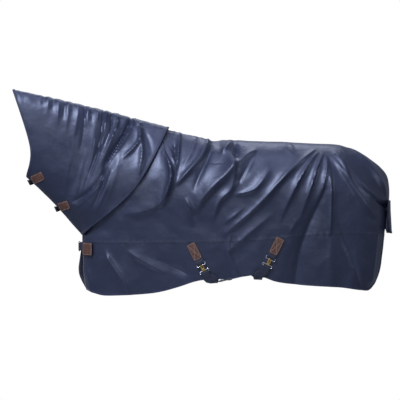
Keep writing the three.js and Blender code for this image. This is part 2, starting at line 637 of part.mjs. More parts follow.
function addBellyStrap(end, offEnd) {
  const near = nearAxes[end];
  const off = offAxes[offEnd];
  const bar = strapLoopCentre + barOffset;
  const heading = Math.sign(off.origin.x - near.origin.x);
  const hook = [[bar + 44, innerLeg + 3.2], [bar + 14, fastenerHeight - turnRadius - 1],
    ...turnRound(bar, -1), [bar + 14, fastenerHeight + turnRadius - 0.5],
    [bar + 44, outerLeg + 4.6]];
  const points = hook.map(([along, height]) => near.at(along, 0, height));
  const across = points.map(() => near.across.clone());
  const offStart = strapPlaces[offEnd].patchCentre + surcinglePatchLength / 2 + offStrapStart;

  // Where the strap turns in under the hem on a side, and the first point under the belly.
  const turnAt = (axes, sideSign) => {
    const x = axes.origin.x + heading * sideSign * hemTurnReach;
    const width = bodyWidth(x, hemHeight(x), "near");
    return { x, z: hemHeight(x), width };
  };
  const nearTurn = turnAt(near, 1);
  const offTurn = turnAt(off, -1);
  const under = (turn, flank, out, below) => new THREE.Vector3(
    turn.x, flanks[flank] * (turn.width + out), turn.z + below);
  const nearEdge = [under(nearTurn, "near", 11, 4), under(nearTurn, "near", 7, -14),
    under(nearTurn, "near", -9, -22)];
  const offEdge = [under(offTurn, "off", -9, -22), under(offTurn, "off", 7, -14),
    under(offTurn, "off", 11, 4)];
  const flatFrom = new THREE.Vector3(
    nearTurn.x, -bellyFlatShare * nearTurn.width, bellyHeight[end] - nearEndDrop);
  const flatTo = new THREE.Vector3(
    offTurn.x, bellyFlatShare * offTurn.width, bellyHeight[end] - offEndDrop[end]);
  const run = flatTo.clone().sub(flatFrom);
  flatFrom.x += heading * flatInset;
  flatTo.x -= heading * flatInset;
  const bellyAcross = new THREE.Vector3(run.y, -run.x, 0).normalize();
  const flatPoints = [0, 0.1, 0.25, 0.5, 0.75, 0.9, 1].map((t) => flatFrom.clone().lerp(flatTo, t));
  const offDrop = [60, 30, 10].map((along) => off.at(offStart + along, 0, innerLeg + 2));
  const anchor = off.at(offStart, 0, innerLeg + 0.5);
  points.push(...nearEdge, ...flatPoints, ...offEdge, ...offDrop, anchor);

  const nearAcross = near.across.clone();
  if (nearAcross.dot(bellyAcross) < 0) bellyAcross.negate();
  const offAcross = off.across.clone();
  if (offAcross.dot(bellyAcross) < 0) offAcross.negate();
  const shareOf = (a, b, t) => a.clone().lerp(b, t).normalize();
  across.push(shareOf(nearAcross, bellyAcross, 0.2), shareOf(nearAcross, bellyAcross, 0.45),
    shareOf(nearAcross, bellyAcross, 0.75));
  flatPoints.forEach(() => across.push(bellyAcross.clone()));
  across.push(shareOf(offAcross, bellyAcross, 0.75), shareOf(offAcross, bellyAcross, 0.45),
    shareOf(offAcross, bellyAcross, 0.2), offAcross, offAcross, offAcross, offAcross);
  add(end + "_belly_strap", ribbon(points, across, webbingWidth, webbingThickness), webbing);

  // The slider that sets the strap's length rides on its flat stretch.
  const runDirection = flatTo.clone().sub(flatFrom).normalize();
  const frame = new THREE.Group();
  const upward = runDirection.clone().cross(bellyAcross).normalize();
  if (upward.z > 0) upward.negate();
  const wide = upward.clone().cross(runDirection);
  frame.quaternion.setFromRotationMatrix(new THREE.Matrix4().makeBasis(runDirection, wide, upward));
  frame.position.copy(flatFrom.clone().lerp(flatTo, sliderShare));
  rug.add(frame);
  add(end + "_slider", slider(), nickel, frame);
}

// A three-bar slider: the strap goes over its end bars and under the middle one.
function slider() {
  const barHeight = 2.2;
  const railOffset = webbingWidth / 2 + looseFit + sliderBar / 2;
  const barY = 2 * railOffset + sliderBar;
  const lift = webbingThickness / 2 + looseFit + barHeight / 2;
  const railHeight = 2 * lift + barHeight;
  const rails = [-1, 1].map((sign) =>
    block(0, sign * railOffset, 0, sliderLength, sliderBar, railHeight));
  const ends = [-1, 1].map((sign) =>
    block((sign * (sliderLength - sliderBar)) / 2, 0, -lift, sliderBar, barY, barHeight));
  return join(...rails, ...ends, block(0, 0, lift, 1.5 * sliderBar, barY, barHeight));
}

addBellyStrap("front", "rear");
addBellyStrap("rear", "front");

// ---------------------------------------------------------------- chest fastening
// The near tab and the off tab meet across the front, just below the collar.
const chestFastenerShare = -0.731;
const chestFastenerZ = chestFastenerShare * rugDrop;
const chestFront = chestLine.near(chestFastenerShare) * backLength;
const chestPatchX = -0.308 * backLength;
const chestPatchZ = -0.746 * rugDrop;
const chestLift = 4; // of the tabs off the strongly curved chest
const chestLean = 38; // of the folded tabs at their loops, back towards the chest
const chestAxes = {
  origin: new THREE.Vector3(chestFront - 10, -8, chestFastenerZ),
  down: new THREE.Vector3(0, 1, 0),
  across: new THREE.Vector3(0, 0, -1),
  out: new THREE.Vector3(-1, 0, 0),
};
chestAxes.at = (along, wide, height) => chestAxes.origin.clone()
  .addScaledVector(chestAxes.down, along)
  .addScaledVector(chestAxes.across, wide)
  .addScaledVector(chestAxes.out, height);
addFastener("chest", chestAxes);

for (const flank of Object.keys(flanks)) {
  const place = onBody(flank);
  const patchAxes = axesAt(place, chestPatchX, chestPatchZ, -90 * degrees);
  addPatch(flank + "_chest_patch", place, patchAxes, 0, chestPatchLength, chestPatchWidth,
    patchOnWebbing + chestLift + 2.2);

  // The tab lies under its patch, follows the chest forward and turns round the loop's bar.
  const bar = flank === "near" ? tabLoopCentre - barOffset : strapLoopCentre + barOffset;
  const direction = flank === "near" ? 1 : -1;
  const turn = turnRound(bar, direction, chestLean)
    .map(([along, height]) => chestAxes.at(along, 0, height));
  const layOn = (x, height) => {
    const axes = axesAt(place, x * backLength, chestFastenerZ, -90 * degrees);
    return axes.at(0, 0, height);
  };
  const stations = [-0.29, -0.305, -0.318, -0.3275];
  const inner = stations.map((x) => layOn(x, innerLeg + chestLift));
  const outer = stations.map((x) => layOn(x, outerLeg + chestLift)).reverse();
  const points = [...inner, ...turn, ...outer];
  const across = points.map(() => chestAxes.across);
  add(flank + "_chest_tab", ribbon(points, across, webbingWidth, webbingThickness), webbing);
}

// ---------------------------------------------------------------- neck cover fastenings
// Two straps close the neck cover under the throat. Each is sewn on at the near side's patch and
// lies on the off side's patch, where it fastens.
const neckPatchPlaces = {
  front: { x: -0.53 * backLength, z: -0.316 * rugDrop, tilt: -62 * degrees },
  rear: { x: -0.41571 * backLength, z: -0.485 * rugDrop, tilt: -64 * degrees },
};
const throatStrapStart = 10; // from the middle of the throat
const throatStrapWidth = 36;
const throatStrapLift = 3.2; // off the off patch it lies on
const throatStrapDrop = 20; // past the ends of the patches, round the throat

for (const [end, spot] of Object.entries(neckPatchPlaces)) {
  for (const flank of Object.keys(flanks)) {
    const place = onNeck(flank);
    const axes = axesAt(place, spot.x, spot.z, spot.tilt);
    addPatch(`${flank}_${end}_neck_patch`, place, axes, 0, neckPatchLength, neckPatchWidth,
      patchOnFabric);
  }
  addThroatStrap(end, spot);
}

// A strap from the edge of the near patch, round the throat and onto the off patch.
function addThroatStrap(end, spot) {
  const place = onNeck("off");
  const axes = axesAt(place, spot.x, spot.z, spot.tilt);
  const toThroat = new THREE.Vector3(Math.sin(spot.tilt), 0, -Math.cos(spot.tilt));
  const alongThroat = new THREE.Vector3(-toThroat.z, 0, toThroat.x);
  const height = patchOnFabric + leatherThickness + throatStrapLift + webbingThickness / 2;
  const { grid, normals } = gridUnder(place, axes, 0, neckPatchLength, neckPatchWidth);
  const rows = [6, 5, 4, 3, 2, 1];
  const onPatch = rows.map((row) => grid[row][3].clone().addScaledVector(normals[row][3], height));
  const acrossPatch = rows.map((row) => grid[row][6].clone().sub(grid[row][0]).normalize());
  const edge = grid[6][3].clone().setY(0).addScaledVector(toThroat, height + throatStrapDrop);
  const round = [-throatStrapStart, 0, throatStrapStart].map((y) => edge.clone().setY(y));
  const points = [...round, ...onPatch];
  if (alongThroat.dot(acrossPatch[0]) < 0) alongThroat.negate();
  const across = [alongThroat, alongThroat, alongThroat, ...acrossPatch];
  add(`${end}_throat_strap`, ribbon(points, across, throatStrapWidth, webbingThickness), webbing);
}

export default rug;
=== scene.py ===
# A turnout rug with a neck cover, standing as it does on a horse. Metres; the head end points
# to -X, the tail end to +X, and the horse's left side, the near side, is -Y.
import math
import bpy
import numpy as np
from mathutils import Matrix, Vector


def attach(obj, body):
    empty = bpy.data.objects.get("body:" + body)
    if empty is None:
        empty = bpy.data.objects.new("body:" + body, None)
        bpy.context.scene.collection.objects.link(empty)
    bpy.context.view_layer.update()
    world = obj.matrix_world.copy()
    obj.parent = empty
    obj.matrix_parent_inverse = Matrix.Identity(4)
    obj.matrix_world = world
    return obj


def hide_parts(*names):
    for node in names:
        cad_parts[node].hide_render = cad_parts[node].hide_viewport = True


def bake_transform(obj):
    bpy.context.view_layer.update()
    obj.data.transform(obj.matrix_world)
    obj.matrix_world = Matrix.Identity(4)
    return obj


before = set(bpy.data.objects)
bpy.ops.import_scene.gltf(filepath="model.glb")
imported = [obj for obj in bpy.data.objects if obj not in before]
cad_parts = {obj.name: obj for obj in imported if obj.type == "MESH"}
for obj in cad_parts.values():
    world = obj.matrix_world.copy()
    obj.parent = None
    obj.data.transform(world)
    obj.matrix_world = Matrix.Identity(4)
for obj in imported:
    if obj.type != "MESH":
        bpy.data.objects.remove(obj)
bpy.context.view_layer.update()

# ---------------------------------------------------------------- camera
# Level with the middle of the rug and square to its near side, from far off with a long lens,
# so that the outline is nearly a side elevation.
camera = bpy.data.objects.new("camera", bpy.data.cameras.new("camera"))
bpy.context.scene.collection.objects.link(camera)
camera.location = (0.24, -14.2, -0.45)
camera.rotation_euler = (math.radians(90), 0, 0)
camera.data.lens = 210
camera.data.sensor_width = 36
camera.data.clip_end = 100
bpy.context.scene.camera = camera
bpy.context.scene.view_settings.view_transform = "Standard"

# ---------------------------------------------------------------- studio
# A pale matt floor where a horse would stand, a white room and large soft boxes. The one over
# the back draws the sheen along the top of each fold.
FLOOR_DROP = -1.8
FLOOR_RADIUS = 1.5


def linear(code):
    """The linear colour of an sRGB hex code."""
    parts = [int(code[i:i + 2], 16) / 255 for i in (1, 3, 5)]
    return [c / 12.92 if c <= 0.04045 else ((c + 0.055) / 1.055) ** 2.4 for c in parts] + [1]


def add(tree, kind, inputs=None, stops=(), **settings):
    """A node with its settings, values or other nodes' sockets for its inputs, and its colour
    stops, as pairs of a place and a hex code, where it has any."""
    made = tree.nodes.new(kind)
    for name, value in settings.items():
        setattr(made, name, value)
    for number, (place, code) in enumerate(stops):
        made.color_ramp.elements[number].position = place
        made.color_ramp.elements[number].color = linear(code)
    for key, value in (inputs or {}).items():
        if isinstance(value, bpy.types.NodeSocket):
            tree.links.new(value, made.inputs[key])
        else:
            made.inputs[key].default_value = value
    return made


def new_material(name):
    made = bpy.data.materials.new(name)
    made.use_nodes = True
    made.node_tree.nodes.clear()
    return made, made.node_tree


def link(name, mesh, *materials):
    """An object at the origin for a finished mesh."""
    made = bpy.data.objects.new(name, mesh)
    bpy.context.scene.collection.objects.link(made)
    for one in materials:
        mesh.materials.append(one)
    return made


# Painted plaster: matt, with a faint mottle that keeps the floor from looking empty.
plaster, tree = new_material("painted plaster")
place = add(tree, "ShaderNodeTexCoord").outputs["Object"]
mottle = add(tree, "ShaderNodeTexNoise", {"Vector": place, "Scale": 1.5, "Detail": 3.0})
colour = add(tree, "ShaderNodeValToRGB", {"Fac": mottle.outputs["Fac"]},
             stops=[(0.3, "#f1f1f1"), (0.7, "#f7f7f7")])
shader = add(tree, "ShaderNodeBsdfPrincipled", {"Base Color": colour.outputs[0],
                                                "Roughness": 0.9})
add(tree, "ShaderNodeOutputMaterial", {"Surface": shader.outputs[0]})
turn = np.linspace(0, 2 * np.pi, 97)[:-1]
rim = [(0.24 + FLOOR_RADIUS * math.cos(a), FLOOR_RADIUS * math.sin(a), FLOOR_DROP) for a in turn]
floor_mesh = bpy.data.meshes.new("floor")
floor_mesh.from_pydata(rim, [], [list(range(len(rim)))])
link("floor", floor_mesh, plaster)

world = bpy.data.worlds.new("studio")
world.use_nodes = True
world.node_tree.nodes.clear()
bpy.context.scene.world = world
tree = world.node_tree
path = add(tree, "ShaderNodeLightPath")
room = add(tree, "ShaderNodeBackground", {"Color": linear("#dfe8ff"), "Strength": 0.22})
backdrop = add(tree, "ShaderNodeBackground", {"Color": (1, 1, 1, 1), "Strength": 1.0})
seen = add(tree, "ShaderNodeMixShader", {0: path.outputs["Is Camera Ray"],
                                         1: room.outputs[0], 2: backdrop.outputs[0]})
add(tree, "ShaderNodeOutputWorld", {"Surface": seen.outputs[0]})


def soft_box(name, place, aim, size, power, code):
    light = bpy.data.lights.new(name, "AREA")
    light.shape = "RECTANGLE"
    light.size, light.size_y = size
    light.energy = power
    light.color = linear(code)[:3]
    made = bpy.data.objects.new(name, light)
    bpy.context.scene.collection.objects.link(made)
    made.location = place
    direction = Vector(aim) - made.location
    made.rotation_euler = direction.to_track_quat("-Z", "Y").to_euler()


MIDDLE = (0.24, 0, -0.45)
soft_box("key", (-2.4, -3.4, 4.0), MIDDLE, (2.8, 1.2), 330, "#e6ecff")
soft_box("over_the_back", (0.2, -0.5, 3.6), MIDDLE, (3.6, 1.4), 38, "#d8e2ff")
soft_box("head_side", (-4.6, -2.6, 1.2), MIDDLE, (0.8, 2.0), 24, "#e6ecff")
soft_box("tail_side", (4.8, -2.4, 1.6), MIDDLE, (0.8, 2.0), 28, "#eef2ff")
soft_box("front_fill", (-0.5, -7.5, 1.6), MIDDLE, (3.0, 2.0), 40, "#ffffff")
soft_box("far_side", (0.4, 3.6, 3.6), MIDDLE, (3.0, 1.5), 45, "#e6ecff")

# ---------------------------------------------------------------- the shape of the horse
# The outer shell is cut in panels that together take the shape of a horse's body. All panels
# lie on one smooth surface, given as half the rug's width at each place of its side view.
BACK_LENGTH = 1.4
DROP = 1.0
HALF_WIDTH = 0.325
FRONT_GAP = 0.014
SHELL = 0.0014  # coated fabric, 1.4 mm with its backing
NEAR, OFF = -1, 1


def line_through(points):
    """A smooth line through points, as a function of a share of its length in points."""
    p = np.array(points, float)

    def at(t):
        s = np.asarray(t, float) * (len(p) - 1)
        i = np.clip(np.floor(s).astype(int), 0, len(p) - 2)
        w = (s - i)[..., None]
        a, b, c, d = p[np.maximum(i - 1, 0)], p[i], p[i + 1], p[np.minimum(i + 2, len(p) - 1)]
        v, u = (c - a) / 2, (d - b) / 2
        return (2 * b - 2 * c + v + u) * w**3 + (3 * c - 3 * b - 2 * v - u) * w**2 + v * w + b
    return at


def level_line(rows):
    """A smooth line through rows of a place and a value, level past its ends."""
    points = line_through(rows)(np.linspace(0, 1, len(rows) * 12 + 1))
    return lambda place: np.interp(place, points[:, 0], points[:, 1])


def side_line(*shares):
    """A line of the side view, from points in shares of the back length and the drop."""
    return line_through([(x * BACK_LENGTH, z * DROP) for x, z in shares])


def bowed_line(a, b, bow, peak):
    """A line from a to b that bows to its left, most at the share peak."""
    a, b = np.array(a), np.array(b)
    chord = b - a
    left = np.array([-chord[1], chord[0]]) / np.hypot(*chord)
    return line_through([a, a + chord * peak + left * bow, b])


def stretch(line, points, first, last):
    """The stretch of a line between two of its points."""
    return lambda t: line((first + (last - first) * np.asarray(t)) / (points - 1))


TOP = ((0, -.008), (.03, -.022), (.107, -.052), (.214, -.078), (.371, -.088), (.571, -.1),
       (.739, -.11), (.809, -.132), (.86, -.163), (.907, -.206), (.949, -.249), (.979, -.295),
       (.99, -.35), (.993, -.45))
top_line = side_line(*TOP)
neckline = side_line((-.341, -.6), (-.286, -.5), (-.193, -.37), (-.107, -.235), (-.045, -.11),
                     (-.004, -.012))
shoulder_seam = side_line((0, -.008), (.036, -.28), (.047, -.7))
shoulder_rear = side_line((-.004, -.012), (.036, -.28), (.047, -.7))
belly_seam = side_line((-.339, -.702), (-.176, -.702), (.047, -.7), (.407, -.684), (.729, -.645),
                       (.963, -.655))
chest_seam = side_line((-.176, -.702), (-.176, -.86), (-.176, -1.022))
chest_hem = side_line((-.318, -.993), (-.254, -1.023), (-.176, -1.022))
hem = side_line((-.176, -1.022), (-.066, -1.013), (.005, -.998), (.076, -.971), (.171, -.93),
                (.283, -.92), (.371, -.903), (.404, -.898), (.446, -.912), (.502, -.938),
                (.6, -.956), (.763, -.97), (.86, -.989), (.897, -.989), (.925, -.954))
front_edge = side_line((-.341, -.6), (-.34, -.65), (-.339, -.702))
rear_edge = side_line((.993, -.45), (.987, -.51), (.975, -.58), (.963, -.655))
quarter_edge = side_line((.963, -.655), (.958, -.746), (.946, -.876), (.925, -.954))
chest_edge = {NEAR: side_line((-.339, -.702), (-.333, -.849), (-.318, -.993)),
              OFF: side_line((-.339, -.702), (-.353, -.88), (-.318, -.993))}

width_share = level_line([(-.343, .56), (-.18, .66), (0, .76), (.214, .91), (.464, 1),
                          (.714, .985), (1, .86)])
shoulder_depth = level_line([(-.343, .45), (0, .45), (.464, .32), (1, .34)])
roundness = level_line([(-.343, .6), (0, .8), (.214, .62), (.464, .5), (1, .5)])
spine_height = level_line([(-.66, .19), (-.34, .088), (-.1, .022), *TOP])
rear_line = level_line([(-1, .936), (-.954, .944), (-.876, .964), (-.746, .976), (-.655, .981),
                        (-.58, .989), (-.51, .9935), (-.45, .994), (0, .994)])
chest_line = {NEAR: level_line([(-1, -.318), (-.849, -.333), (-.702, -.339), (-.6, -.341),
                                (-.45, -.43), (-.3, -.51), (0, -.62)]),
              OFF: level_line([(-1, -.318), (-.88, -.353), (-.702, -.339), (-.6, -.341),
                               (-.45, -.43), (-.3, -.51), (0, -.62)])}


def arc(share):
    return np.sqrt(np.maximum(0, 1 - (1 - np.clip(share, 0, 1)) ** 2))


def smooth(share):
    share = np.clip(share, 0, 1)
    return share * share * (3 - 2 * share)


def body_width(x, z, flank, clear=0.0):
    """Half the width of the body, or of a shape that stands clear of it."""
    along, down = x / BACK_LENGTH, z / DROP
    depth = (spine_height(along) * DROP + clear - z) / (shoulder_depth(along) * DROP + clear)
    over = arc(depth) ** (2 * roundness(along))
    front = arc((x - chest_line[flank](down) * BACK_LENGTH + clear) / (0.26 + clear))
    rear = arc((rear_line(down) * BACK_LENGTH - x) / 0.2)
    tuck = 1 - 0.05 * (np.maximum(0, -down - 0.55) / 0.45) ** 2
    width = (width_share(along) * HALF_WIDTH * tuck + clear) * over * front * rear
    return np.maximum(FRONT_GAP / 2, width)


def body_points(x, z, flank):
    """Points of the shell's outer face and its normals at places of the side view."""
    x, z = np.broadcast_arrays(x, z)
    step = 0.002
    y = body_width(x, z, flank)
    slope_x = body_width(x + step, z, flank) - body_width(x - step, z, flank)
    slope_z = body_width(x, z + step, flank) - body_width(x, z - step, flank)
    across = 2 * step * flank * np.minimum(1, y / 0.02)
    normals = np.stack([-slope_x, across, -slope_z], -1)
    return np.stack([x, flank * y, z], -1), unit(normals)


def unit(vectors):
    return vectors / np.maximum(1e-9, np.linalg.norm(vectors, axis=-1, keepdims=True))


def between(top, bottom, front, rear):
    """A smooth patch of the side view between four edges, u from head to tail, v downward."""
    corner = [top(0), top(1), bottom(0), bottom(1)]

    def at(u, v):
        u, v = np.broadcast_arrays(np.asarray(u, float), np.asarray(v, float))
        a, b = u[..., None], v[..., None]
        edges = (1 - b) * top(u) + b * bottom(u) + (1 - a) * front(v) + a * rear(v)
        corners = ((1 - a) * (1 - b) * corner[0] + a * (1 - b) * corner[1]
                   + (1 - a) * b * corner[2] + a * b * corner[3])
        place = edges - corners
        return place[..., 0], place[..., 1]
    return at


def even_steps(at, count, samples=400):
    """Shares of a line that stand evenly along it in space."""
    t = np.linspace(0, 1, samples)
    points = at(t)
    gone = np.concatenate([[0], np.cumsum(np.linalg.norm(np.diff(points, axis=0), axis=-1))])
    return np.interp(np.linspace(0, gone[-1], count + 1), gone, t), gone[-1]


def even_grid(surface, spacing):
    """Shares u and v of a surface's grid with even spacing along the rug and down each column."""
    u, along = even_steps(lambda t: surface(t, np.full_like(t, 0.5)), 8)
    columns = max(4, round(along / spacing))
    u, _ = even_steps(lambda t: surface(t, np.full_like(t, 0.5)), columns)
    longest = max(even_steps(lambda t: surface(np.full_like(t, s), t), 8)[1]
                  for s in (0, 0.3, 0.6, 1))
    rows = max(4, round(longest / spacing))
    v = np.stack([even_steps(lambda t: surface(np.full_like(t, s), t), rows)[0] for s in u], 1)
    return np.broadcast_to(u, v.shape), v


# ---------------------------------------------------------------- folds of the body
# Unfilled, the shell hangs in soft folds that run from the withers, the loins and the hips.
# Each is a ridge or a hollow along a line: (x, z, height and reach in millimetres). Lean makes
# a ridge steeper on its tail side, or on its head side where it is below 0.
BODY_FOLDS = (
    (0.45, ((.294, -.078, 10, 14), (.282, -.132, 16, 16), (.252, -.192, 16, 16), (.201, -.258, 14,
          15), (.144, -.318, 12, 14), (.090, -.372, 0, 12))),
    (0, ((.306, -.138, -8, 14), (.270, -.222, -12, 16), (.228, -.318, -9, 15), (.198, -.408, 0,
          14))),
    (0.55, ((.384, -.144, 6, 30), (.450, -.234, 22, 45), (.420, -.294, 24, 40), (.336, -.366, 20,
          30), (.264, -.444, 14, 20), (.222, -.534, 0, 12))),
    (0.4, ((.456, -.246, 8, 16), (.447, -.318, 12, 16), (.426, -.390, 12, 18), (.366, -.450, 12,
          16), (.336, -.516, 7, 14), (.312, -.582, 0, 12))),
    (0, ((.444, -.078, -4, 14), (.456, -.126, -14, 14), (.459, -.180, -14, 13), (.456, -.240, -4,
          10))),
    (0.2, ((.426, -.096, 2, 9), (.408, -.132, 12, 12), (.384, -.168, 8, 10))),
    (0.1, ((.336, -.006, -11, 45), (.345, -.084, -11, 40), (.360, -.126, -6, 25), (.372, -.162, 0,
          20))),
    (0.5, ((.564, -.162, 6, 12), (.540, -.180, 12, 12), (.504, -.210, 12, 11), (.462, -.252, 0,
          10))),
    (0, ((.558, -.192, -6, 10), (.528, -.252, -10, 12), (.486, -.318, -8, 11), (.462, -.354, 0,
          10))),
    (0.3, ((.582, -.138, 0, 12), (.558, -.198, 6, 12), (.534, -.252, 9, 12), (.480, -.342, 0, 10))),
    (0.2, ((.660, -.258, 0, 14), (.618, -.330, 9, 16), (.570, -.384, 11, 15), (.510, -.408, 8, 12),
          (.444, -.420, 0, 10))),
    (0.45, ((.924, -.156, 4, 10), (.858, -.216, 12, 15), (.780, -.282, 15, 17), (.708, -.354, 14,
          16), (.630, -.438, 12, 14), (.540, -.528, 9, 13), (.456, -.600, 7, 14), (.372, -.672, 0,
          12))),
    (0.45, ((.942, -.174, 4, 9), (.888, -.246, 12, 13), (.834, -.330, 14, 14), (.786, -.420, 10,
          14), (.744, -.510, 5, 14), (.708, -.600, 0, 14))),
    (0.4, ((.972, -.186, 4, 9), (.942, -.258, 11, 11), (.912, -.342, 13, 12), (.876, -.444, 8, 13),
          (.846, -.534, 3, 14), (.822, -.606, 0, 14))),
    (0.4, ((.996, -.198, 3, 8), (.996, -.270, 9, 9), (.978, -.354, 9, 10), (.948, -.438, 5, 12),
          (.912, -.522, 0, 12))),
    (0.3, ((1.002, -.210, 2, 8), (1.014, -.282, 5, 9), (1.020, -.360, 13, 9), (1.020, -.480, 13,
          10), (1.017, -.594, 11, 9), (1.017, -.666, 0, 8))),
    (-0.4, ((1.044, -.180, 6, 9), (1.086, -.234, 11, 10), (1.110, -.282, 9, 9), (1.128, -.336, 0,
          8))),
    (-0.4, ((1.032, -.198, 4, 10), (1.086, -.276, 10, 13), (1.146, -.366, 11, 14), (1.200, -.450, 9,
          14), (1.248, -.516, 6, 12), (1.284, -.564, 0, 10))),
    (-0.3, ((1.068, -.192, 3, 10), (1.140, -.270, 8, 12), (1.212, -.366, 8, 12), (1.272, -.420, 6,
          10), (1.320, -.450, 0, 10))),
    (-0.5, ((1.152, -.138, 4, 20), (1.224, -.210, 10, 22), (1.284, -.288, 12, 22), (1.332, -.366,
          12, 18), (1.374, -.456, 0, 14))),
    (0, ((1.272, -.438, -2, 6), (1.326, -.468, -10, 6), (1.386, -.504, -10, 6))),
    (0, ((.984, -.390, -4, 14), (.936, -.492, -10, 18), (.882, -.618, -12, 22), (.834, -.762, -12,
          24), (.804, -.954, -10, 26))),
    (0, ((1.068, -.606, -3, 12), (1.104, -.702, -8, 14), (1.152, -.822, -10, 16), (1.200, -.978,
          -10, 18))),
    (0, ((1.020, -.690, 4, 30), (1.020, -.822, 8, 40), (1.026, -.978, 8, 40))),
    (0, ((1.296, -.540, 4, 14), (1.290, -.690, 7, 16), (1.266, -.930, 7, 18))),
    (0.3, ((.738, -.108, 3, 7), (.768, -.144, 6, 7), (.798, -.186, 0, 6))),
    (0.3, ((.762, -.096, 0, 6), (.792, -.132, 5, 6), (.816, -.168, 0, 6))),
    (-0.3, ((.150, -.438, 0, 7), (.180, -.486, 8, 8), (.210, -.540, 0, 7))),
    (0.3, ((.156, -.456, 0, 7), (.180, -.534, 8, 8), (.201, -.612, 0, 7))),
    (0.4, ((.516, -.480, 0, 14), (.444, -.546, 6, 14), (.372, -.600, 0, 12))),
    (0.4, ((.672, -.534, 0, 16), (.570, -.618, 6, 18), (.480, -.696, 7, 18), (.384, -.786, 0, 16))),
    (0.4, ((.840, -.540, 0, 16), (.762, -.666, 6, 20), (.696, -.822, 0, 18))),
    (0.5, ((.012, -.150, 3, 12), (.042, -.210, 20, 18), (.072, -.282, 26, 20), (.066, -.354, 24,
          20), (.036, -.432, 18, 18), (-.006, -.504, 0, 12))),
    (0.4, ((.048, -.132, 2, 8), (.078, -.204, 10, 9), (.102, -.276, 0, 8))),
    (0.4, ((.120, -.018, 4, 8), (.114, -.126, 12, 9), (.108, -.210, 10, 9), (.099, -.282, 0, 8))),
    (0, ((.084, -.126, -6, 8), (.096, -.198, -8, 8), (.102, -.246, 0, 8))),
    (0.3, ((.216, -.066, 6, 20), (.192, -.162, 8, 24), (.156, -.228, 5, 20), (.120, -.282, 0, 14))),
    (-0.4, ((-.228, -.534, 0, 30), (-.132, -.528, 7, 34), (-.048, -.504, 7, 30), (.024, -.462, 0,
          20))),
    (0.3, ((-.360, -.714, 0, 16), (-.330, -.762, 12, 16), (-.282, -.840, 12, 18), (-.228, -.924, 9,
          18), (-.180, -1.014, 4, 16))),
    (-0.3, ((-.204, -.750, 0, 12), (-.132, -.798, 8, 14), (-.048, -.846, 8, 14), (.042, -.894, 0,
          12))),
    (0, ((-.012, -.810, -2, 14), (.120, -.870, -7, 16), (.252, -.924, 0, 14))),
    (0.2, ((-.456, -.822, 0, 12), (-.432, -.894, 7, 14), (-.408, -1.014, 6, 14))),
    (0.2, ((.432, -.642, 0, 14), (.408, -.726, 6, 14), (.432, -.822, 6, 14), (.480, -.930, 4, 12))),
)


def fold_height(x, z, folds):
    """The height of the folds at places of the side view."""
    total = np.zeros(x.shape)
    for lean, rows in folds:
        path = line_through(rows)(np.linspace(0, 1, 6 * (len(rows) - 1) + 1))
        path[:, 2:] /= 1000
        spread = 5 * path[:, 3].max()
        inside = ((x > path[:, 0].min() - spread) & (x < path[:, 0].max() + spread)
                  & (z > path[:, 1].min() - spread) & (z < path[:, 1].max() + spread))
        if not inside.any():
            continue
        px, pz = x[inside], z[inside]
        nearest = np.full(px.shape, 1e9)
        height, reach, side = np.zeros_like(px), np.ones_like(px), np.zeros_like(px)
        for a, b in zip(path[:-1], path[1:]):
            ab = b[:2] - a[:2]
            t = np.clip(((px - a[0]) * ab[0] + (pz - a[1]) * ab[1]) / (ab @ ab + 1e-12), 0, 1)
            distance = np.hypot(px - a[0] - t * ab[0], pz - a[1] - t * ab[1])
            closer = distance < nearest
            nearest = np.where(closer, distance, nearest)
            height = np.where(closer, a[2] + t * (b[2] - a[2]), height)
            reach = np.where(closer, a[3] + t * (b[3] - a[3]), reach)
            turned = ab[0] * (pz - a[1]) - ab[1] * (px - a[0])
            side = np.where(closer, turned / (np.hypot(*ab) * np.maximum(distance, 1e-6)), side)
        reach = np.maximum(reach, 0.004) * (1 - lean * side)
        rounding = 0.35 * reach
        total[inside] += height * np.exp(-(np.hypot(nearest, rounding) - rounding) / reach)
    return total


# Where patches and fasteners hold the shell flat: ends of a line and the distance it holds.
FLAT_PLACES = (((0.19, -0.71), (0.27, -0.93), 0.045), ((0.71, -0.68), (0.62, -0.92), 0.045),
               ((-0.47, -0.746), (-0.39, -0.746), 0.05))


def flatness(x, z):
    """1 where the shell is free to fold, 0 where something is sewn on it."""
    free = np.ones(x.shape)
    for a, b, hold in FLAT_PLACES:
        a, ab = np.array(a), np.subtract(b, a)
        t = np.clip(((x - a[0]) * ab[0] + (z - a[1]) * ab[1]) / (ab @ ab), 0, 1)
        free *= smooth((np.hypot(x - a[0] - t * ab[0], z - a[1] - t * ab[1]) - hold) / 0.06)
    return free


def ripples(x, z, seed):
    """Shallow waves of the cloth, smooth over the whole rug."""
    rng = np.random.default_rng(seed)
    total = np.zeros(np.shape(x))
    for length in (0.31, 0.22, 0.16, 0.11, 0.085):
        for turn in rng.uniform(0, math.pi, 3):
            wave = 2 * math.pi / (length * rng.uniform(0.85, 1.15))
            phase = rng.uniform(0, 6.28)
            total += length * np.sin(wave * (x * math.cos(turn) + z * math.sin(turn)) + phase)
    return total / 0.9


COLLAR_TOP, COLLAR_FOOT = (0.036 * BACK_LENGTH, -0.008), (-0.341 * BACK_LENGTH, -0.66)
collar_edge = bowed_line(COLLAR_TOP, COLLAR_FOOT, 0.078, 0.5)
collar_rows = collar_edge(np.linspace(0, 1, 60))[::-1]
seam_rows = belly_seam(np.linspace(0, 1, 80))


FOLD_DEPTH = 1.7  # of the drawn folds, for a shell with nothing under it


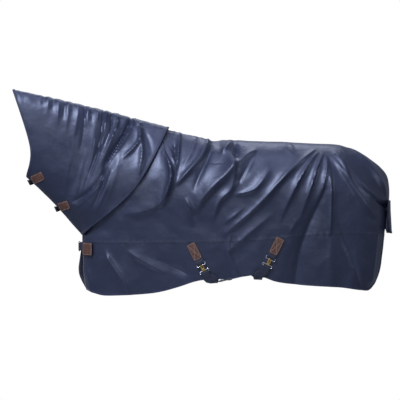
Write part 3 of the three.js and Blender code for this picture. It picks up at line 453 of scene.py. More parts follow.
def body_height(x, z, flank):
    """How far the shell stands off the smooth body."""
    if flank == OFF:
        x = (x + 0.03) / 0.97
    free = flatness(x, z)
    height = FOLD_DEPTH * fold_height(x, z, BODY_FOLDS) * (0.9 if flank == OFF else 1)
    height += 0.0022 * ripples(x, z, 3)
    below = np.interp(x, seam_rows[:, 0], seam_rows[:, 1]) - z
    pucker = np.sin(x * 2 * math.pi / 0.034 + 3 * np.sin(x * 17)) * np.exp(-(below / 0.016) ** 2)
    height += 0.0007 * pucker
    drape = np.sin(x * 2 * math.pi / 0.29 + 1.2 + 1.5 * np.sin(x * 5)) * smooth(below / 0.3)
    height += 0.005 * drape
    height *= free
    under = x - np.interp(z, collar_rows[:, 1], collar_rows[:, 0])
    limit = 0.003 + 0.7 * np.maximum(0, under)
    return np.where(height > limit, limit + 0.1 * np.minimum(height - limit, 0.01), height)


def body_shell(x, z, flank, lift=0.0):
    """Points of the folded shell, and the smooth body's normals."""
    points, normals = body_points(x, z, flank)
    near, off = body_height(x, z, NEAR), body_height(x, z, OFF)
    share = smooth((points[..., 1] + 0.06) / 0.12)
    height = near * (1 - share) + off * share + lift
    return points + normals * height[..., None], normals


def sheet_mesh(name, outer, inner, uv):
    """A closed thin sheet between two grids of points, with a map in metres of cloth."""
    rows, columns = outer.shape[:2]
    count = rows * columns
    index = np.arange(count).reshape(rows, columns)
    a, b, c, d = index[:-1, :-1], index[:-1, 1:], index[1:, 1:], index[1:, :-1]
    front = np.stack([a, b, c, d], -1).reshape(-1, 4)
    back = np.stack([a, d, c, b], -1).reshape(-1, 4) + count
    ring = np.concatenate([index[0, :-1], index[:-1, -1], index[-1, :0:-1], index[:0:-1, 0]])
    after = np.roll(ring, -1)
    rim = np.stack([after, ring, ring + count, after + count], -1)
    faces = np.concatenate([front, back, rim])
    points = np.concatenate([outer.reshape(-1, 3), inner.reshape(-1, 3)])
    middle = (rows // 2, columns // 2)
    edge_u = outer[middle[0], middle[1] + 1] - outer[middle]
    edge_v = outer[middle[0] + 1, middle[1]] - outer[middle]
    if np.dot(np.cross(edge_u, edge_v), outer[middle] - inner[middle]) < 0:
        faces = faces[:, ::-1]
    mesh = bpy.data.meshes.new(name)
    mesh.from_pydata(points.tolist(), [], faces.tolist())
    mesh.shade_smooth()
    mesh.set_sharp_from_angle(angle=math.radians(60))
    both = np.concatenate([uv.reshape(-1, 2)] * 2)
    layer = mesh.uv_layers.new(name="cloth")
    corners = np.empty(len(mesh.loops), dtype=np.int32)
    mesh.loops.foreach_get("vertex_index", corners)
    layer.uv.foreach_set("vector", both[corners].astype(np.float32).ravel())
    return mesh


def cloth_map(points):
    """Metres of cloth along the rows and down the columns of a grid."""
    along = np.linalg.norm(np.diff(points, axis=1), axis=-1).mean(0)
    down = np.linalg.norm(np.diff(points, axis=0), axis=-1)
    u = np.concatenate([[0], np.cumsum(along)])
    v = np.concatenate([np.zeros((1, points.shape[1])), np.cumsum(down, 0)])
    return np.stack([np.broadcast_to(u, v.shape), v], -1)


def flat_size(points):
    """The width, length and area of the cloth that a grid of points takes."""
    u = np.linalg.norm(np.diff(points, axis=1), axis=-1).sum(1).max()
    v = np.linalg.norm(np.diff(points, axis=0), axis=-1).sum(0).max()
    du, dv = np.diff(points, axis=1)[:-1], np.diff(points, axis=0)[:, :-1]
    area = np.linalg.norm(np.cross(du, dv), axis=-1).sum()
    return (float(u), float(v)), float(area)


def cloth(name, base, outer, normals, thickness, finish, slot, node, held="draped", rests_on=(),
          body="rug"):
    """A panel of cloth in place of its CAD node, cut to the size of the smooth surface."""
    made = link(name, sheet_mesh(name, outer, outer - normals * thickness, cloth_map(base)), finish)
    if body:
        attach(made, body)
    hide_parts(node)
    return made


# ---------------------------------------------------------------- outer shell
# Coated plain-weave polyester in navy, cut in a back panel, shoulders, chest fronts and lower
# panels. The panels are lapped and sewn with two rows of thread, which draw the cloth up a little.
# The coating gives a soft gloss on folds that face the light; the weave breaks it up finely.
coated, tree = new_material("coated plain-weave polyester")
place = add(tree, "ShaderNodeTexCoord").outputs["Object"]
weave_place = add(tree, "ShaderNodeUVMap", uv_map="cloth").outputs["UV"]
THREAD = 0.0024  # the real threads are 0.5 mm apart; drawn coarser, or they would not show
WAVES = 0.31416  # a wave texture repeats every 0.31416 / scale
warp = add(tree, "ShaderNodeTexWave", {"Vector": weave_place, "Scale": WAVES / THREAD},
           bands_direction="X")
weft = add(tree, "ShaderNodeTexWave", {"Vector": weave_place, "Scale": WAVES / THREAD},
           bands_direction="Y")
weave = add(tree, "ShaderNodeMath", {0: warp.outputs["Fac"], 1: weft.outputs["Fac"]},
            operation="MULTIPLY")
# Creases a hand wide, and finer crumples where the coating has been folded for packing.
hand = add(tree, "ShaderNodeTexNoise", {"Vector": place, "Scale": 11.0, "Detail": 2.0,
                                        "Roughness": 0.5, "Distortion": 0.2})
crumple = add(tree, "ShaderNodeTexNoise", {"Vector": place, "Scale": 38.0, "Detail": 4.0,
                                           "Roughness": 0.6, "Distortion": 0.4})
dye = add(tree, "ShaderNodeTexNoise", {"Vector": place, "Scale": 2.2, "Detail": 4.0})
colour = add(tree, "ShaderNodeValToRGB", {"Fac": dye.outputs["Fac"]},
             stops=[(0.3, "#262b3e"), (0.7, "#2e3347")])
fold_bump = add(tree, "ShaderNodeBump", {"Height": hand.outputs["Fac"], "Strength": 0.4,
                                         "Distance": 0.012})
crumple_bump = add(tree, "ShaderNodeBump", {"Height": crumple.outputs["Fac"], "Strength": 0.3,
                                            "Distance": 0.002, "Normal": fold_bump.outputs[0]})
weave_bump = add(tree, "ShaderNodeBump", {"Height": weave.outputs[0], "Strength": 0.25,
                                          "Distance": 0.0004, "Normal": crumple_bump.outputs[0]})
shader = add(tree, "ShaderNodeBsdfPrincipled", {"Base Color": colour.outputs[0], "Roughness": 0.4,
                                                "Normal": weave_bump.outputs[0],
                                                "Sheen Weight": 0.08, "Sheen Roughness": 0.3,
                                                "Sheen Tint": linear("#aebcf0"),
                                                "Coat Weight": 0.12, "Coat Roughness": 0.3,
                                                "Specular IOR Level": 0.8,
                                                "Specular Tint": linear("#d6dffb")})
add(tree, "ShaderNodeOutputMaterial", {"Surface": shader.outputs[0]})

# Thin plain-weave lining, uncoated: matt and darker than the shell, so that the inside reads
# as a shadow at the neck and under the hem.
taffeta, tree = new_material("plain-weave polyester lining")
weave_place = add(tree, "ShaderNodeUVMap", uv_map="cloth").outputs["UV"]
place = add(tree, "ShaderNodeTexCoord").outputs["Object"]
LINING_THREAD = 0.003  # drawn coarser than the real 0.4 mm
warp = add(tree, "ShaderNodeTexWave", {"Vector": weave_place, "Scale": WAVES / LINING_THREAD},
           bands_direction="X")
weft = add(tree, "ShaderNodeTexWave", {"Vector": weave_place, "Scale": WAVES / LINING_THREAD},
           bands_direction="Y")
weave = add(tree, "ShaderNodeMath", {0: warp.outputs["Fac"], 1: weft.outputs["Fac"]},
            operation="MULTIPLY")
soft = add(tree, "ShaderNodeTexNoise", {"Vector": place, "Scale": 9.0, "Detail": 3.0})
soft_bump = add(tree, "ShaderNodeBump", {"Height": soft.outputs["Fac"], "Strength": 0.5,
                                         "Distance": 0.01})
weave_bump = add(tree, "ShaderNodeBump", {"Height": weave.outputs[0], "Strength": 0.3,
                                          "Distance": 0.0004, "Normal": soft_bump.outputs[0]})
colour = add(tree, "ShaderNodeValToRGB", {"Fac": soft.outputs["Fac"]},
             stops=[(0.3, "#1b2136"), (0.7, "#232a42")])
shader = add(tree, "ShaderNodeBsdfPrincipled", {"Base Color": colour.outputs[0],
                                                "Roughness": 0.72,
                                                "Normal": weave_bump.outputs[0],
                                                "Sheen Weight": 0.2, "Sheen Roughness": 0.5})
add(tree, "ShaderNodeOutputMaterial", {"Surface": shader.outputs[0]})

SPACING = 0.007
LAP = 0.007  # how far an upper panel lies over the next one down
SEAM_INSET = 0.0001  # of a panel's edge inside its seam line


def inset(u, v, size):
    """Shares of a grid, kept a little inside the panel's edges."""
    a, b = SEAM_INSET / size[0], SEAM_INSET / size[1]
    return a + (1 - 2 * a) * u, b + (1 - 2 * b) * v


def panel_grid(patch, flank, spacing):
    """Places of the side view under an even grid on a panel."""
    surface = lambda u, v: body_points(*patch(u, v), flank)[0]
    u, v = even_grid(surface, spacing)
    size, _ = flat_size(surface(u, v))
    return patch(*inset(u, v, size))


def lapped(x, z):
    """The places with a lap's two rows added below, and how far the lap stands proud."""
    rows = [1 / 2, 1]
    more_x = np.concatenate([x] + [x[-1:] for _ in rows])
    more_z = np.concatenate([z] + [z[-1:] - LAP * r for r in rows])
    rise = 0.0013 * smooth(1 - (more_z - more_z[-1:]) / 0.02)
    return more_x, more_z, rise


LINING_DEPTH = 0.0042
LINING_THICKNESS = 0.0012


def body_panel(name, patch, flank, lap, spacing=SPACING, **facts):
    """An outer panel of one flank and the lining behind it."""
    x, z = panel_grid(patch, flank, spacing)
    rise = np.zeros(x.shape)
    if lap:
        x, z, rise = lapped(x, z)
    base, _ = body_points(x, z, flank)
    outer, normals = body_shell(x, z, flank, rise)
    shell = cloth(name + "_shell", base, outer, normals, SHELL, coated, "shell",
                  name + "_panel", **facts)
    x, z = panel_grid(patch, flank, 0.0105)
    base, _ = body_points(x, z, flank)
    outer, normals = body_shell(x, z, flank, -LINING_DEPTH)
    lining = cloth(name + "_inner", base, outer, normals, LINING_THICKNESS, taffeta, "lining",
                   name + "_lining", **facts)
    return shell, lining


# The back panel goes over the spine in one piece, from belly seam to belly seam.
back_patch = between(top_line, stretch(belly_seam, 6, 2, 5), shoulder_seam, rear_edge)


def over_spine(x, z, rise, extra):
    """The back's near rows, the spine and its off rows, as base, outer points and normals."""
    halves = []
    for flank in (NEAR, OFF):
        base, _ = body_points(x, z, flank)
        outer, normals = body_shell(x, z, flank, rise + extra)
        halves.append((base, outer, normals))
    spine = np.stack([x[0], np.zeros(len(x[0])), z[0]], -1)
    slope = np.gradient(spine, axis=0)
    up = unit(np.stack([-slope[:, 2], np.zeros(len(spine)), slope[:, 0]], -1))
    height = (body_height(x[0], z[0], NEAR) + body_height(x[0], z[0], OFF)) / 2 + extra
    middle = (spine, spine + up * height[:, None], up)
    return [np.concatenate([near[::-1], mid[None], off])
            for near, mid, off in zip(halves[0], middle, halves[1])]


x, z = panel_grid(back_patch, NEAR, SPACING)
x, z, rise = lapped(x, z)
base, outer, normals = over_spine(x, z, rise, 0)
cloth("back_shell", base, outer, normals, SHELL, coated, "shell", "back_panel")
x, z = panel_grid(back_patch, NEAR, 0.0105)
base, outer, normals = over_spine(x, z, np.zeros(x.shape), -LINING_DEPTH)
cloth("back_inner", base, outer, normals, LINING_THICKNESS, taffeta, "lining", "back_lining")

lower_patch = between(stretch(belly_seam, 6, 1, 5), hem, chest_seam, quarter_edge)
chest_patches = {}
shoulder_patch = between(neckline, stretch(belly_seam, 6, 0, 2), front_edge, shoulder_rear)
for side, flank in (("near", NEAR), ("off", OFF)):
    body_panel(side + "_shoulder", shoulder_patch, flank, lap=True)
    body_panel(side + "_lower", lower_patch, flank, lap=False)
    patch = between(stretch(belly_seam, 6, 0, 1), chest_hem, chest_edge[flank], chest_seam)
    chest_patches[flank] = patch
    pieces = body_panel(side + "_chest", patch, flank, lap=False, spacing=0.006,
                        body=None if flank == NEAR else "rug")
    if flank == NEAR:
        for piece in pieces:
            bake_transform(piece)

# ---------------------------------------------------------------- tail flap
# A flap of the shell's cloth that hangs behind the quarters and covers the tail's root. It is
# sewn across its top edge and bound round the others.
FLAP_HALF, FLAP_LENGTH = 0.17, 0.2
FLAP_X, FLAP_Z = 0.9985 * BACK_LENGTH, -0.452 * DROP


def flap_point(s, t, lift=0.0):
    """A point of the flap: s across from -1 to 1, t down from 0 to 1."""
    s, t = np.broadcast_arrays(np.asarray(s, float), np.asarray(t, float))
    round_off = 0.03 * smooth((np.abs(s) - 0.72) / 0.28) ** 2
    y = s * FLAP_HALF
    wave = 0.004 * np.sin(s * 7 + 0.6) * t + 0.002 * np.sin(s * 15 + t * 2) * t
    x = FLAP_X + 0.006 * t - 0.9 * y * y + wave + lift
    return np.stack([x, y, FLAP_Z - t * (FLAP_LENGTH - round_off)], -1)


s, t = np.meshgrid(np.linspace(-1, 1, 57), np.linspace(0, 1, 33))
outer = flap_point(s, t)
normals = unit(np.cross(np.gradient(outer, axis=0), np.gradient(outer, axis=1)))
normals *= np.sign(normals[..., :1] + 1e-9)
flap = cloth("tail_flap_shell", outer, outer, normals, SHELL, coated, "shell", "tail_flap",
             held="hung", body=None)
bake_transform(flap)

# ---------------------------------------------------------------- neck cover
# Two halves of the same cloth joined along the crest, closed under the throat by two straps. An
# elastic in the crest gathers it, and its collar lies loose over the shoulders of the rug.
NECK_HALF = 0.118
POLL, THROAT = (-0.898, 0.224), (-0.815, -0.31)
crest = bowed_line(POLL, COLLAR_TOP, 0.008, 0.45)
throat_line = bowed_line(THROAT, COLLAR_FOOT, 0.01, 0.45)
poll_edge = bowed_line(POLL, THROAT, 0.055, 0.68)
neck_patch = between(crest, throat_line, poll_edge, collar_edge)
neck_share = level_line([(0, .8), (.35, .95), (.7, 1.08), (1, 1.15)])


def neck_base(u, v, flank):
    """Points of the neck cover's smooth outer face."""
    x, z = neck_patch(u, v)
    oval = NECK_HALF * neck_share(u) * np.sqrt(np.maximum(0, 1 - (2 * v - 1) ** 2))
    flare = smooth((u - 0.35) / 0.45) * np.minimum(1, v * 20)
    collar = body_width(x, z, flank, 0.0169) * flare
    gap = np.abs(oval - collar)
    rounding = np.where(gap < 0.06, (0.06 - gap) ** 2 / 0.24, 0)
    closed = np.minimum(1, v * 8) * np.minimum(1, (1 - v) * 8)
    width = np.maximum(oval, collar) + rounding * closed
    width = np.maximum(np.where(v > 0.5, 0.004, 0.0008), width)
    return np.stack([x, flank * width, z], -1)


def neck_normals(u, v, flank):
    """Normals of the neck cover, level where its halves meet."""
    step = 0.004
    du = neck_base(np.minimum(1, u + step), v, flank) - neck_base(np.maximum(0, u - step), v, flank)
    dv = neck_base(u, np.minimum(1, v + step), flank) - neck_base(u, np.maximum(0, v - step), flank)
    normals = unit(np.cross(dv, du))
    normals *= np.sign(normals[..., 1:2] * flank + 1e-9)
    flat = smooth(np.minimum(v, 1 - v) / 0.012)[..., None]
    return unit(normals * np.concatenate([np.ones_like(flat), flat, np.ones_like(flat)], -1))


NECK_FOLDS = (
    (0, ((-.678, .222, 6, 8), (-.681, .126, 5, 9), (-.690, .042, 0, 10))),
    (0.2, ((-.612, .198, 9, 8), (-.615, .114, 8, 9), (-.624, .006, 3, 12), (-.636, -.090, 0, 12))),
    (0.2, ((-.552, .174, 6, 7), (-.558, .078, 5, 9), (-.570, -.018, 4, 12), (-.588, -.126, 0, 12))),
    (0.2, ((-.495, .156, 8, 8), (-.498, .066, 7, 10), (-.516, -.030, 6, 13), (-.540, -.126, 0,
          13))),
    (0.2, ((-.438, .144, 7, 6), (-.441, .054, 5, 8), (-.450, -.006, 0, 8))),
    (0.3, ((-.378, .126, 10, 7), (-.381, .018, 10, 9), (-.390, -.066, 11, 10), (-.408, -.192, 10,
          11), (-.444, -.306, 7, 11), (-.486, -.420, 0, 10))),
    (0.3, ((-.321, .108, 12, 7), (-.330, .006, 12, 8), (-.342, -.078, 11, 9), (-.372, -.186, 10,
          10), (-.408, -.282, 7, 10), (-.444, -.372, 0, 10))),
    (0.3, ((-.261, .090, 12, 7), (-.258, .006, 14, 8), (-.282, -.066, 14, 9), (-.312, -.132, 9, 10),
          (-.360, -.234, 5, 10), (-.402, -.318, 0, 9))),
    (0, ((-.706, .222, -8, 5), (-.708, .162, -7, 6), (-.714, .114, 0, 7))),
    (0, ((-.648, .210, -8, 5), (-.648, .150, -7, 6), (-.654, .090, 0, 7))),
    (0, ((-.578, .180, -9, 5), (-.580, .114, -8, 7), (-.588, .030, 0, 9))),
    (0, ((-.531, .168, -6, 4), (-.531, .114, -5, 5), (-.534, .066, 0, 7))),
    (0, ((-.458, .156, -12, 7), (-.459, .042, -10, 9), (-.468, -.066, -8, 11), (-.486, -.174, 0,
          12))),
    (0, ((-.420, .138, -8, 5), (-.414, .066, -6, 5), (-.411, .018, 0, 6))),
    (0, ((-.342, .120, -12, 5), (-.351, .018, -11, 6), (-.363, -.090, -10, 7), (-.396, -.210, -8,
          8), (-.432, -.318, 0, 8))),
    (0, ((-.294, .108, -12, 5), (-.297, .018, -12, 6), (-.312, -.054, -8, 6), (-.336, -.126, 0,
          6))),
    (0.2, ((-.444, -.138, 0, 10), (-.468, -.240, 7, 11), (-.492, -.366, 6, 10), (-.528, -.462, 0,
          9))),
    (0.2, ((-.516, -.090, 0, 14), (-.552, -.240, 5, 16), (-.576, -.390, 4, 14), (-.600, -.450, 0,
          12))),
    (0, ((-.168, .078, -16, 8), (-.216, -.036, -24, 9), (-.276, -.132, -24, 9), (-.324, -.210, -22,
          9), (-.354, -.294, -20, 9), (-.402, -.366, -16, 9), (-.480, -.432, -12, 9), (-.552, -.480,
          0, 9))),
    (-0.3, ((-.150, .066, 8, 6), (-.198, -.054, 12, 6), (-.258, -.150, 12, 6), (-.303, -.222, 10,
          6), (-.333, -.306, 9, 6), (-.384, -.384, 8, 7), (-.456, -.450, 6, 8), (-.504, -.498, 0,
          8))),
    (0, ((-.312, -.270, -4, 8), (-.342, -.354, -14, 9), (-.378, -.438, -10, 9), (-.408, -.498, 0,
          9))),
    (0.2, ((-.288, -.282, 4, 10), (-.318, -.378, 8, 12), (-.360, -.474, 4, 12), (-.396, -.534, 0,
          12))),
    (0.4, ((-.126, .030, 6, 7), (-.120, -.084, 16, 9), (-.156, -.138, 15, 9), (-.192, -.174, 11, 8),
          (-.228, -.204, 0, 6))),
    (0.4, ((-.126, -.018, 6, 9), (-.108, -.126, 18, 13), (-.108, -.210, 18, 13), (-.132, -.336, 0,
          9))),
    (0, ((-.180, .006, -2, 6), (-.144, .000, -7, 6), (-.102, .000, -6, 6), (-.060, .000, 0, 6))),
    (0, ((-.096, -.024, -6, 8), (-.066, -.102, -8, 9), (-.048, -.192, 0, 8))),
    (0.3, ((-.240, -.138, 0, 20), (-.258, -.258, 6, 24), (-.294, -.390, 6, 26), (-.342, -.522, 0,
          24))),
)
neck_flat_places = (((-0.78, -0.3), (-0.7, -0.335), 0.02), ((-0.62, -0.47), (-0.545, -0.5), 0.02))
neckline_rows = neckline(np.linspace(0, 1, 60))
NECK_FOLD_DEPTH = 1.15


def neck_height(x, z, u, v, flank):
    """How far the neck cover stands off its smooth shape."""
    free = np.ones(x.shape)
    for a, b, hold in neck_flat_places:
        a, ab = np.array(a), np.subtract(b, a)
        t = np.clip(((x - a[0]) * ab[0] + (z - a[1]) * ab[1]) / (ab @ ab), 0, 1)
        free *= smooth((np.hypot(x - a[0] - t * ab[0], z - a[1] - t * ab[1]) - hold) / 0.05)
    height = NECK_FOLD_DEPTH * fold_height(x, z, NECK_FOLDS) * (0.9 if flank == OFF else 1)
    height += 0.0018 * ripples(x, z, 11)
    gather = np.sin(u * 2 * math.pi * 15 + 2 * np.sin(u * 21)) * np.exp(-v / 0.05)
    height += 0.0022 * gather
    height *= 0.35 + 0.65 * smooth(v / 0.06)
    over_body = x - np.interp(z, neckline_rows[:, 1], neckline_rows[:, 0]) > -0.03
    height = np.maximum(height, np.where(over_body, -0.008, -0.036))
    return height * free


def neck_shell(u, v, flank, lift=0.0):
    """Points of the folded neck cover, and its smooth normals."""
    x, z = neck_patch(u, v)
    near, off = (neck_height(x, z, u, v, f) for f in (NEAR, OFF))
    points, normals = neck_base(u, v, flank), neck_normals(u, v, flank)
    share = smooth((points[..., 1] + 0.04) / 0.08)
    height = near * (1 - share) + off * share + lift
    return points + normals * height[..., None], normals


for side, flank in (("near", NEAR), ("off", OFF)):
    for kind, spacing, depth, thickness, finish, slot in (
            ("shell", 0.006, 0, SHELL, coated, "shell"),
            ("inner", 0.0095, LINING_DEPTH, LINING_THICKNESS, taffeta, "lining")):
        u, v = even_grid(lambda u, v: neck_base(u, v, flank), spacing)
        base = neck_base(u, v, flank)
        outer, normals = neck_shell(u, v, flank, -depth)
        node = f"{side}_neck_{'panel' if kind == 'shell' else 'lining'}"
        cloth(f"{side}_neck_{kind}", base, outer, normals, thickness, finish, slot, node,
              body="neck_cover")

# ---------------------------------------------------------------- bindings
# Woven navy tape, folded over the raw edges of shell and lining and sewn through. It is 22 mm
# wide on the hem and 13 mm on the chest, the tail flap and the neck cover.
binding_tape, tree = new_material("woven polyester binding tape")
weave_place = add(tree, "ShaderNodeUVMap", uv_map="cloth").outputs["UV"]
TAPE_RIB = 0.0025  # drawn coarser than the real 1 mm ribs
rib = add(tree, "ShaderNodeTexWave", {"Vector": weave_place, "Scale": WAVES / TAPE_RIB},
          bands_direction="Y")
wear = add(tree, "ShaderNodeTexNoise", {"Vector": weave_place, "Scale": 30.0, "Detail": 3.0})
rib_bump = add(tree, "ShaderNodeBump", {"Height": rib.outputs["Fac"], "Strength": 0.35,
                                        "Distance": 0.0005})
colour = add(tree, "ShaderNodeValToRGB", {"Fac": wear.outputs["Fac"]},
             stops=[(0.3, "#1f2740"), (0.7, "#2b3452")])
shader = add(tree, "ShaderNodeBsdfPrincipled", {"Base Color": colour.outputs[0], "Roughness": 0.6,
                                                "Normal": rib_bump.outputs[0],
                                                "Sheen Weight": 0.25, "Sheen Roughness": 0.4})
add(tree, "ShaderNodeOutputMaterial", {"Surface": shader.outputs[0]})


def swept(name, rings, along, around, closed=False):
    """A closed solid through rings of points, with a map in metres along and around it."""
    count, size = rings.shape[:2]
    index = np.arange(count * size).reshape(count, size)
    after = np.roll(index, -1, axis=1)
    first, second = (index, np.roll(index, -1, 0)) if closed else (index[:-1], index[1:])
    first_after = after if closed else after[:-1]
    second_after = np.roll(after, -1, 0) if closed else after[1:]
    quads = np.stack([first, first_after, second_after, second], -1).reshape(-1, 4)
    points = rings.reshape(-1, 3)
    a, b, c, d = (points[quads[:, k]] for k in range(4))
    volume = (np.einsum("ij,ij->", a, np.cross(b, c)) + np.einsum("ij,ij->", a, np.cross(c, d)))
    faces = [list(map(int, q)) for q in quads]
    if not closed:
        faces += [list(map(int, index[0][::-1])), list(map(int, index[-1]))]
    if volume < 0:
        faces = [f[::-1] for f in faces]
    mesh = bpy.data.meshes.new(name)
    mesh.from_pydata(points.tolist(), [], faces)
    mesh.shade_smooth()
    both = np.stack([np.broadcast_to(around, (count, size)),
                     np.broadcast_to(along[:, None], (count, size))], -1).reshape(-1, 2)
    layer = mesh.uv_layers.new(name="cloth")
    corners = np.empty(len(mesh.loops), dtype=np.int32)
    mesh.loops.foreach_get("vertex_index", corners)
    layer.uv.foreach_set("vector", both[corners].astype(np.float32).ravel())
    mesh.set_sharp_from_angle(angle=math.radians(50))
    return mesh


def lengths_along(points):
    return np.concatenate([[0], np.cumsum(np.linalg.norm(np.diff(points, axis=0), axis=-1))])


def folded_tape(name, at, width, body, spacing=0.008, back=-0.0064):
    """Tape folded over an edge: at(s, inset) gives points inside the edge and their normals."""
    s, _ = even_steps(lambda t: at(t, np.zeros_like(t))[0], 8)
    count = int(even_steps(lambda t: at(t, np.zeros_like(t))[0], 8)[1] / spacing)
    s, _ = even_steps(lambda t: at(t, np.zeros_like(t))[0], count)
    middle = np.array([(width, 0.0010), (width * 0.6, 0.0013), (width * 0.2, 0.0014),
                       (0.0006, 0.0013), (-0.0014, 0.0002), (-0.0020, back / 2),
                       (-0.0014, back + 0.001), (0.0006, back), (width * 0.5, back),
                       (width, back + 0.0003)])
    slope = unit(np.gradient(middle, axis=0))
    thick = np.stack([slope[:, 1], -slope[:, 0]], -1) * 0.00055
    ring = np.concatenate([middle + thick, (middle - thick)[::-1]])
    rings = []
    for inset_by, height in ring:
        points, normals = at(s, np.full_like(s, inset_by))
        rings.append(points + normals * height)
    rings = np.stack(rings, 1)
    around = lengths_along(np.pad(ring, ((0, 0), (0, 1))))
    made = link(name, swept(name, rings, lengths_along(rings[:, 0]), around), binding_tape)
    if body:
        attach(made, body)
    return made


def edge_of(patch, flank, edge):
    """Points inside an edge of a body panel: hem, front, rear."""
    def at(s, inset_by):
        if edge == "hem":
            length = np.hypot(*np.subtract(patch(s, np.ones_like(s)), patch(s, np.zeros_like(s))))
            x, z = patch(s, 1 - inset_by / length)
        else:
            start, end = patch(np.zeros_like(s), s), patch(np.ones_like(s), s)
            share = inset_by / np.hypot(*np.subtract(end, start))
            x, z = patch(share if edge == "front" else 1 - share, s)
        return body_shell(x, z, flank)
    return at


HEM_TAPE, EDGE_TAPE = 0.022, 0.013
for side, flank in (("near", NEAR), ("off", OFF)):
    tape = folded_tape(side + "_hem_tape", edge_of(lower_patch, flank, "hem"), HEM_TAPE, "rug")
    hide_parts(side + "_hem_binding")
    folded_tape(side + "_quarter_tape", edge_of(lower_patch, flank, "rear"), EDGE_TAPE, "rug")
    chest_body = "near_chest_flap" if flank == NEAR else "rug"
    folded_tape(side + "_chest_tape", edge_of(chest_patches[flank], flank, "front"), EDGE_TAPE,
                chest_body)
    tape = folded_tape(side + "_chest_hem_tape", edge_of(chest_patches[flank], flank, "hem"),
                       HEM_TAPE, None if flank == NEAR else "rug")
    if flank == NEAR:
        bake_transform(tape)
    # The shoulder's front edge, down the chest under the collar.
    folded_tape(side + "_neckline_tape", edge_of(shoulder_patch, flank, "front"), EDGE_TAPE, "rug")


def neck_edge(flank, edge):
    """Points inside an edge of the neck cover: poll, throat, collar."""
    def at(s, inset_by):
        if edge == "throat":
            across = [neck_base(s, v, flank) for v in (np.ones_like(s), np.full_like(s, 0.97))]
            share = 0.03 * inset_by / np.linalg.norm(across[0] - across[1], axis=-1)
            u, v = s, 1 - share
        else:
            ends = (0.0, 0.03) if edge == "poll" else (1.0, 0.97)
            across = [neck_base(np.full_like(s, e), s, flank) for e in ends]
            share = 0.03 * inset_by / np.linalg.norm(across[0] - across[1], axis=-1)
            u, v = (share if edge == "poll" else 1 - share), s
        return neck_shell(u, v, flank)
    return at


for side, flank in (("near", NEAR), ("off", OFF)):
    for edge in ("poll", "throat", "collar"):
        folded_tape(f"{side}_{edge}_tape", neck_edge(flank, edge), EDGE_TAPE, "neck_cover")


def flap_edge(s, inset_by):
    """Points inside the tail flap's sides and foot, down one side and up the other."""
    corner = np.clip(s * 3, 0, 3)
    across = np.where(corner < 1, -1, np.where(corner > 2, 1, (corner - 1.5) * 2))
    down = np.where(corner < 1, corner, np.where(corner > 2, 3 - corner, 1))
    a = across * (1 - inset_by / FLAP_HALF)
    b = np.minimum(down, 1 - inset_by / FLAP_LENGTH)
    points = flap_point(a, b)
    return points, np.broadcast_to(np.array([1.0, 0, 0]), points.shape)


tape = folded_tape("tail_flap_tape", flap_edge, EDGE_TAPE, None, back=-0.0026)
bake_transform(tape)

# ---------------------------------------------------------------- leather patches
# Brown leather laid over the webbing's ends and the neck cover's straps, sewn round with pale
# thread and crossed in the middle. Its cut edges are rounded over and a little darker.
# Grained, brown and half matt, with a fine pebble that breaks up its highlights. The pebble is
# drawn 2.4 mm across, coarser than the real grain.
patch_leather, tree = new_material("brown grained leather")
place = add(tree, "ShaderNodeTexCoord").outputs["Object"]
pores = add(tree, "ShaderNodeTexVoronoi", {"Vector": place, "Scale": 420.0})
wear = add(tree, "ShaderNodeTexNoise", {"Vector": place, "Scale": 60.0, "Detail": 4.0})
pore_bump = add(tree, "ShaderNodeBump", {"Height": pores.outputs["Distance"], "Strength": 0.5,
                                         "Distance": 0.0006})
colour = add(tree, "ShaderNodeValToRGB", {"Fac": wear.outputs["Fac"]},
             stops=[(0.3, "#50342b"), (0.7, "#6b4a3f")])
shader = add(tree, "ShaderNodeBsdfPrincipled", {"Base Color": colour.outputs[0],
                                                "Roughness": 0.55,
                                                "Normal": pore_bump.outputs[0]})
add(tree, "ShaderNodeOutputMaterial", {"Surface": shader.outputs[0]})


def place_on_body(flank):
    return lambda x, z: body_points(np.asarray(x, float), np.asarray(z, float), flank)[0]


def place_on_neck(flank):
    """Finds the shares of the neck cover at which the side view shows a point."""
    def at(x, z):
        x, z = np.broadcast_arrays(np.asarray(x, float), np.asarray(z, float))
        u, v, step = np.full(x.shape, 0.5), np.full(x.shape, 0.5), 1e-3
        for _ in range(40):
            here, beside, below = neck_patch(u, v), neck_patch(u + step, v), neck_patch(u, v + step)
            ux, uz = (beside[0] - here[0]) / step, (beside[1] - here[1]) / step
            vx, vz = (below[0] - here[0]) / step, (below[1] - here[1]) / step
            dx, dz = x - here[0], z - here[1]
            area = ux * vz - vx * uz
            u = np.clip(u + 0.8 * (dx * vz - dz * vx) / area, 0, 0.999)
            v = np.clip(v + 0.8 * (ux * dz - uz * dx) / area, 0, 0.999)
        return neck_base(u, v, flank)
    return at


def axes_at(place, x, z, tilt):
    """Axes on a surface: origin, down a strap, across it, and out."""
    reach = 0.012
    origin = place(x, z)
    out = unit(np.cross(unit(place(x + reach, z) - place(x - reach, z)),
                        unit(place(x, z + reach) - place(x, z - reach))))
    if out[1] * origin[1] < 0:
        out = -out
    down = np.array([math.sin(tilt), 0, -math.cos(tilt)])
    down = unit(down - out * (down @ out))
    return origin, down, np.cross(out, down), out


def on_patch(place, axes, centre, along, wide, height):
    """Points at a height over a surface, and normals, at places in a patch's own plane."""
    origin, down, across, out = axes

    def raised(a, w):
        flat = origin + down * (centre + a)[..., None] + across * w[..., None]
        return place(flat[..., 0], flat[..., 2])
    step = 0.002
    normals = unit(np.cross(raised(along + step, wide) - raised(along - step, wide),
                            raised(along, wide + step) - raised(along, wide - step)))
    normals *= np.where((normals @ out)[..., None] < 0, -1, 1)
    return raised(along, wide) + normals * np.broadcast_to(height, along.shape)[..., None], normals


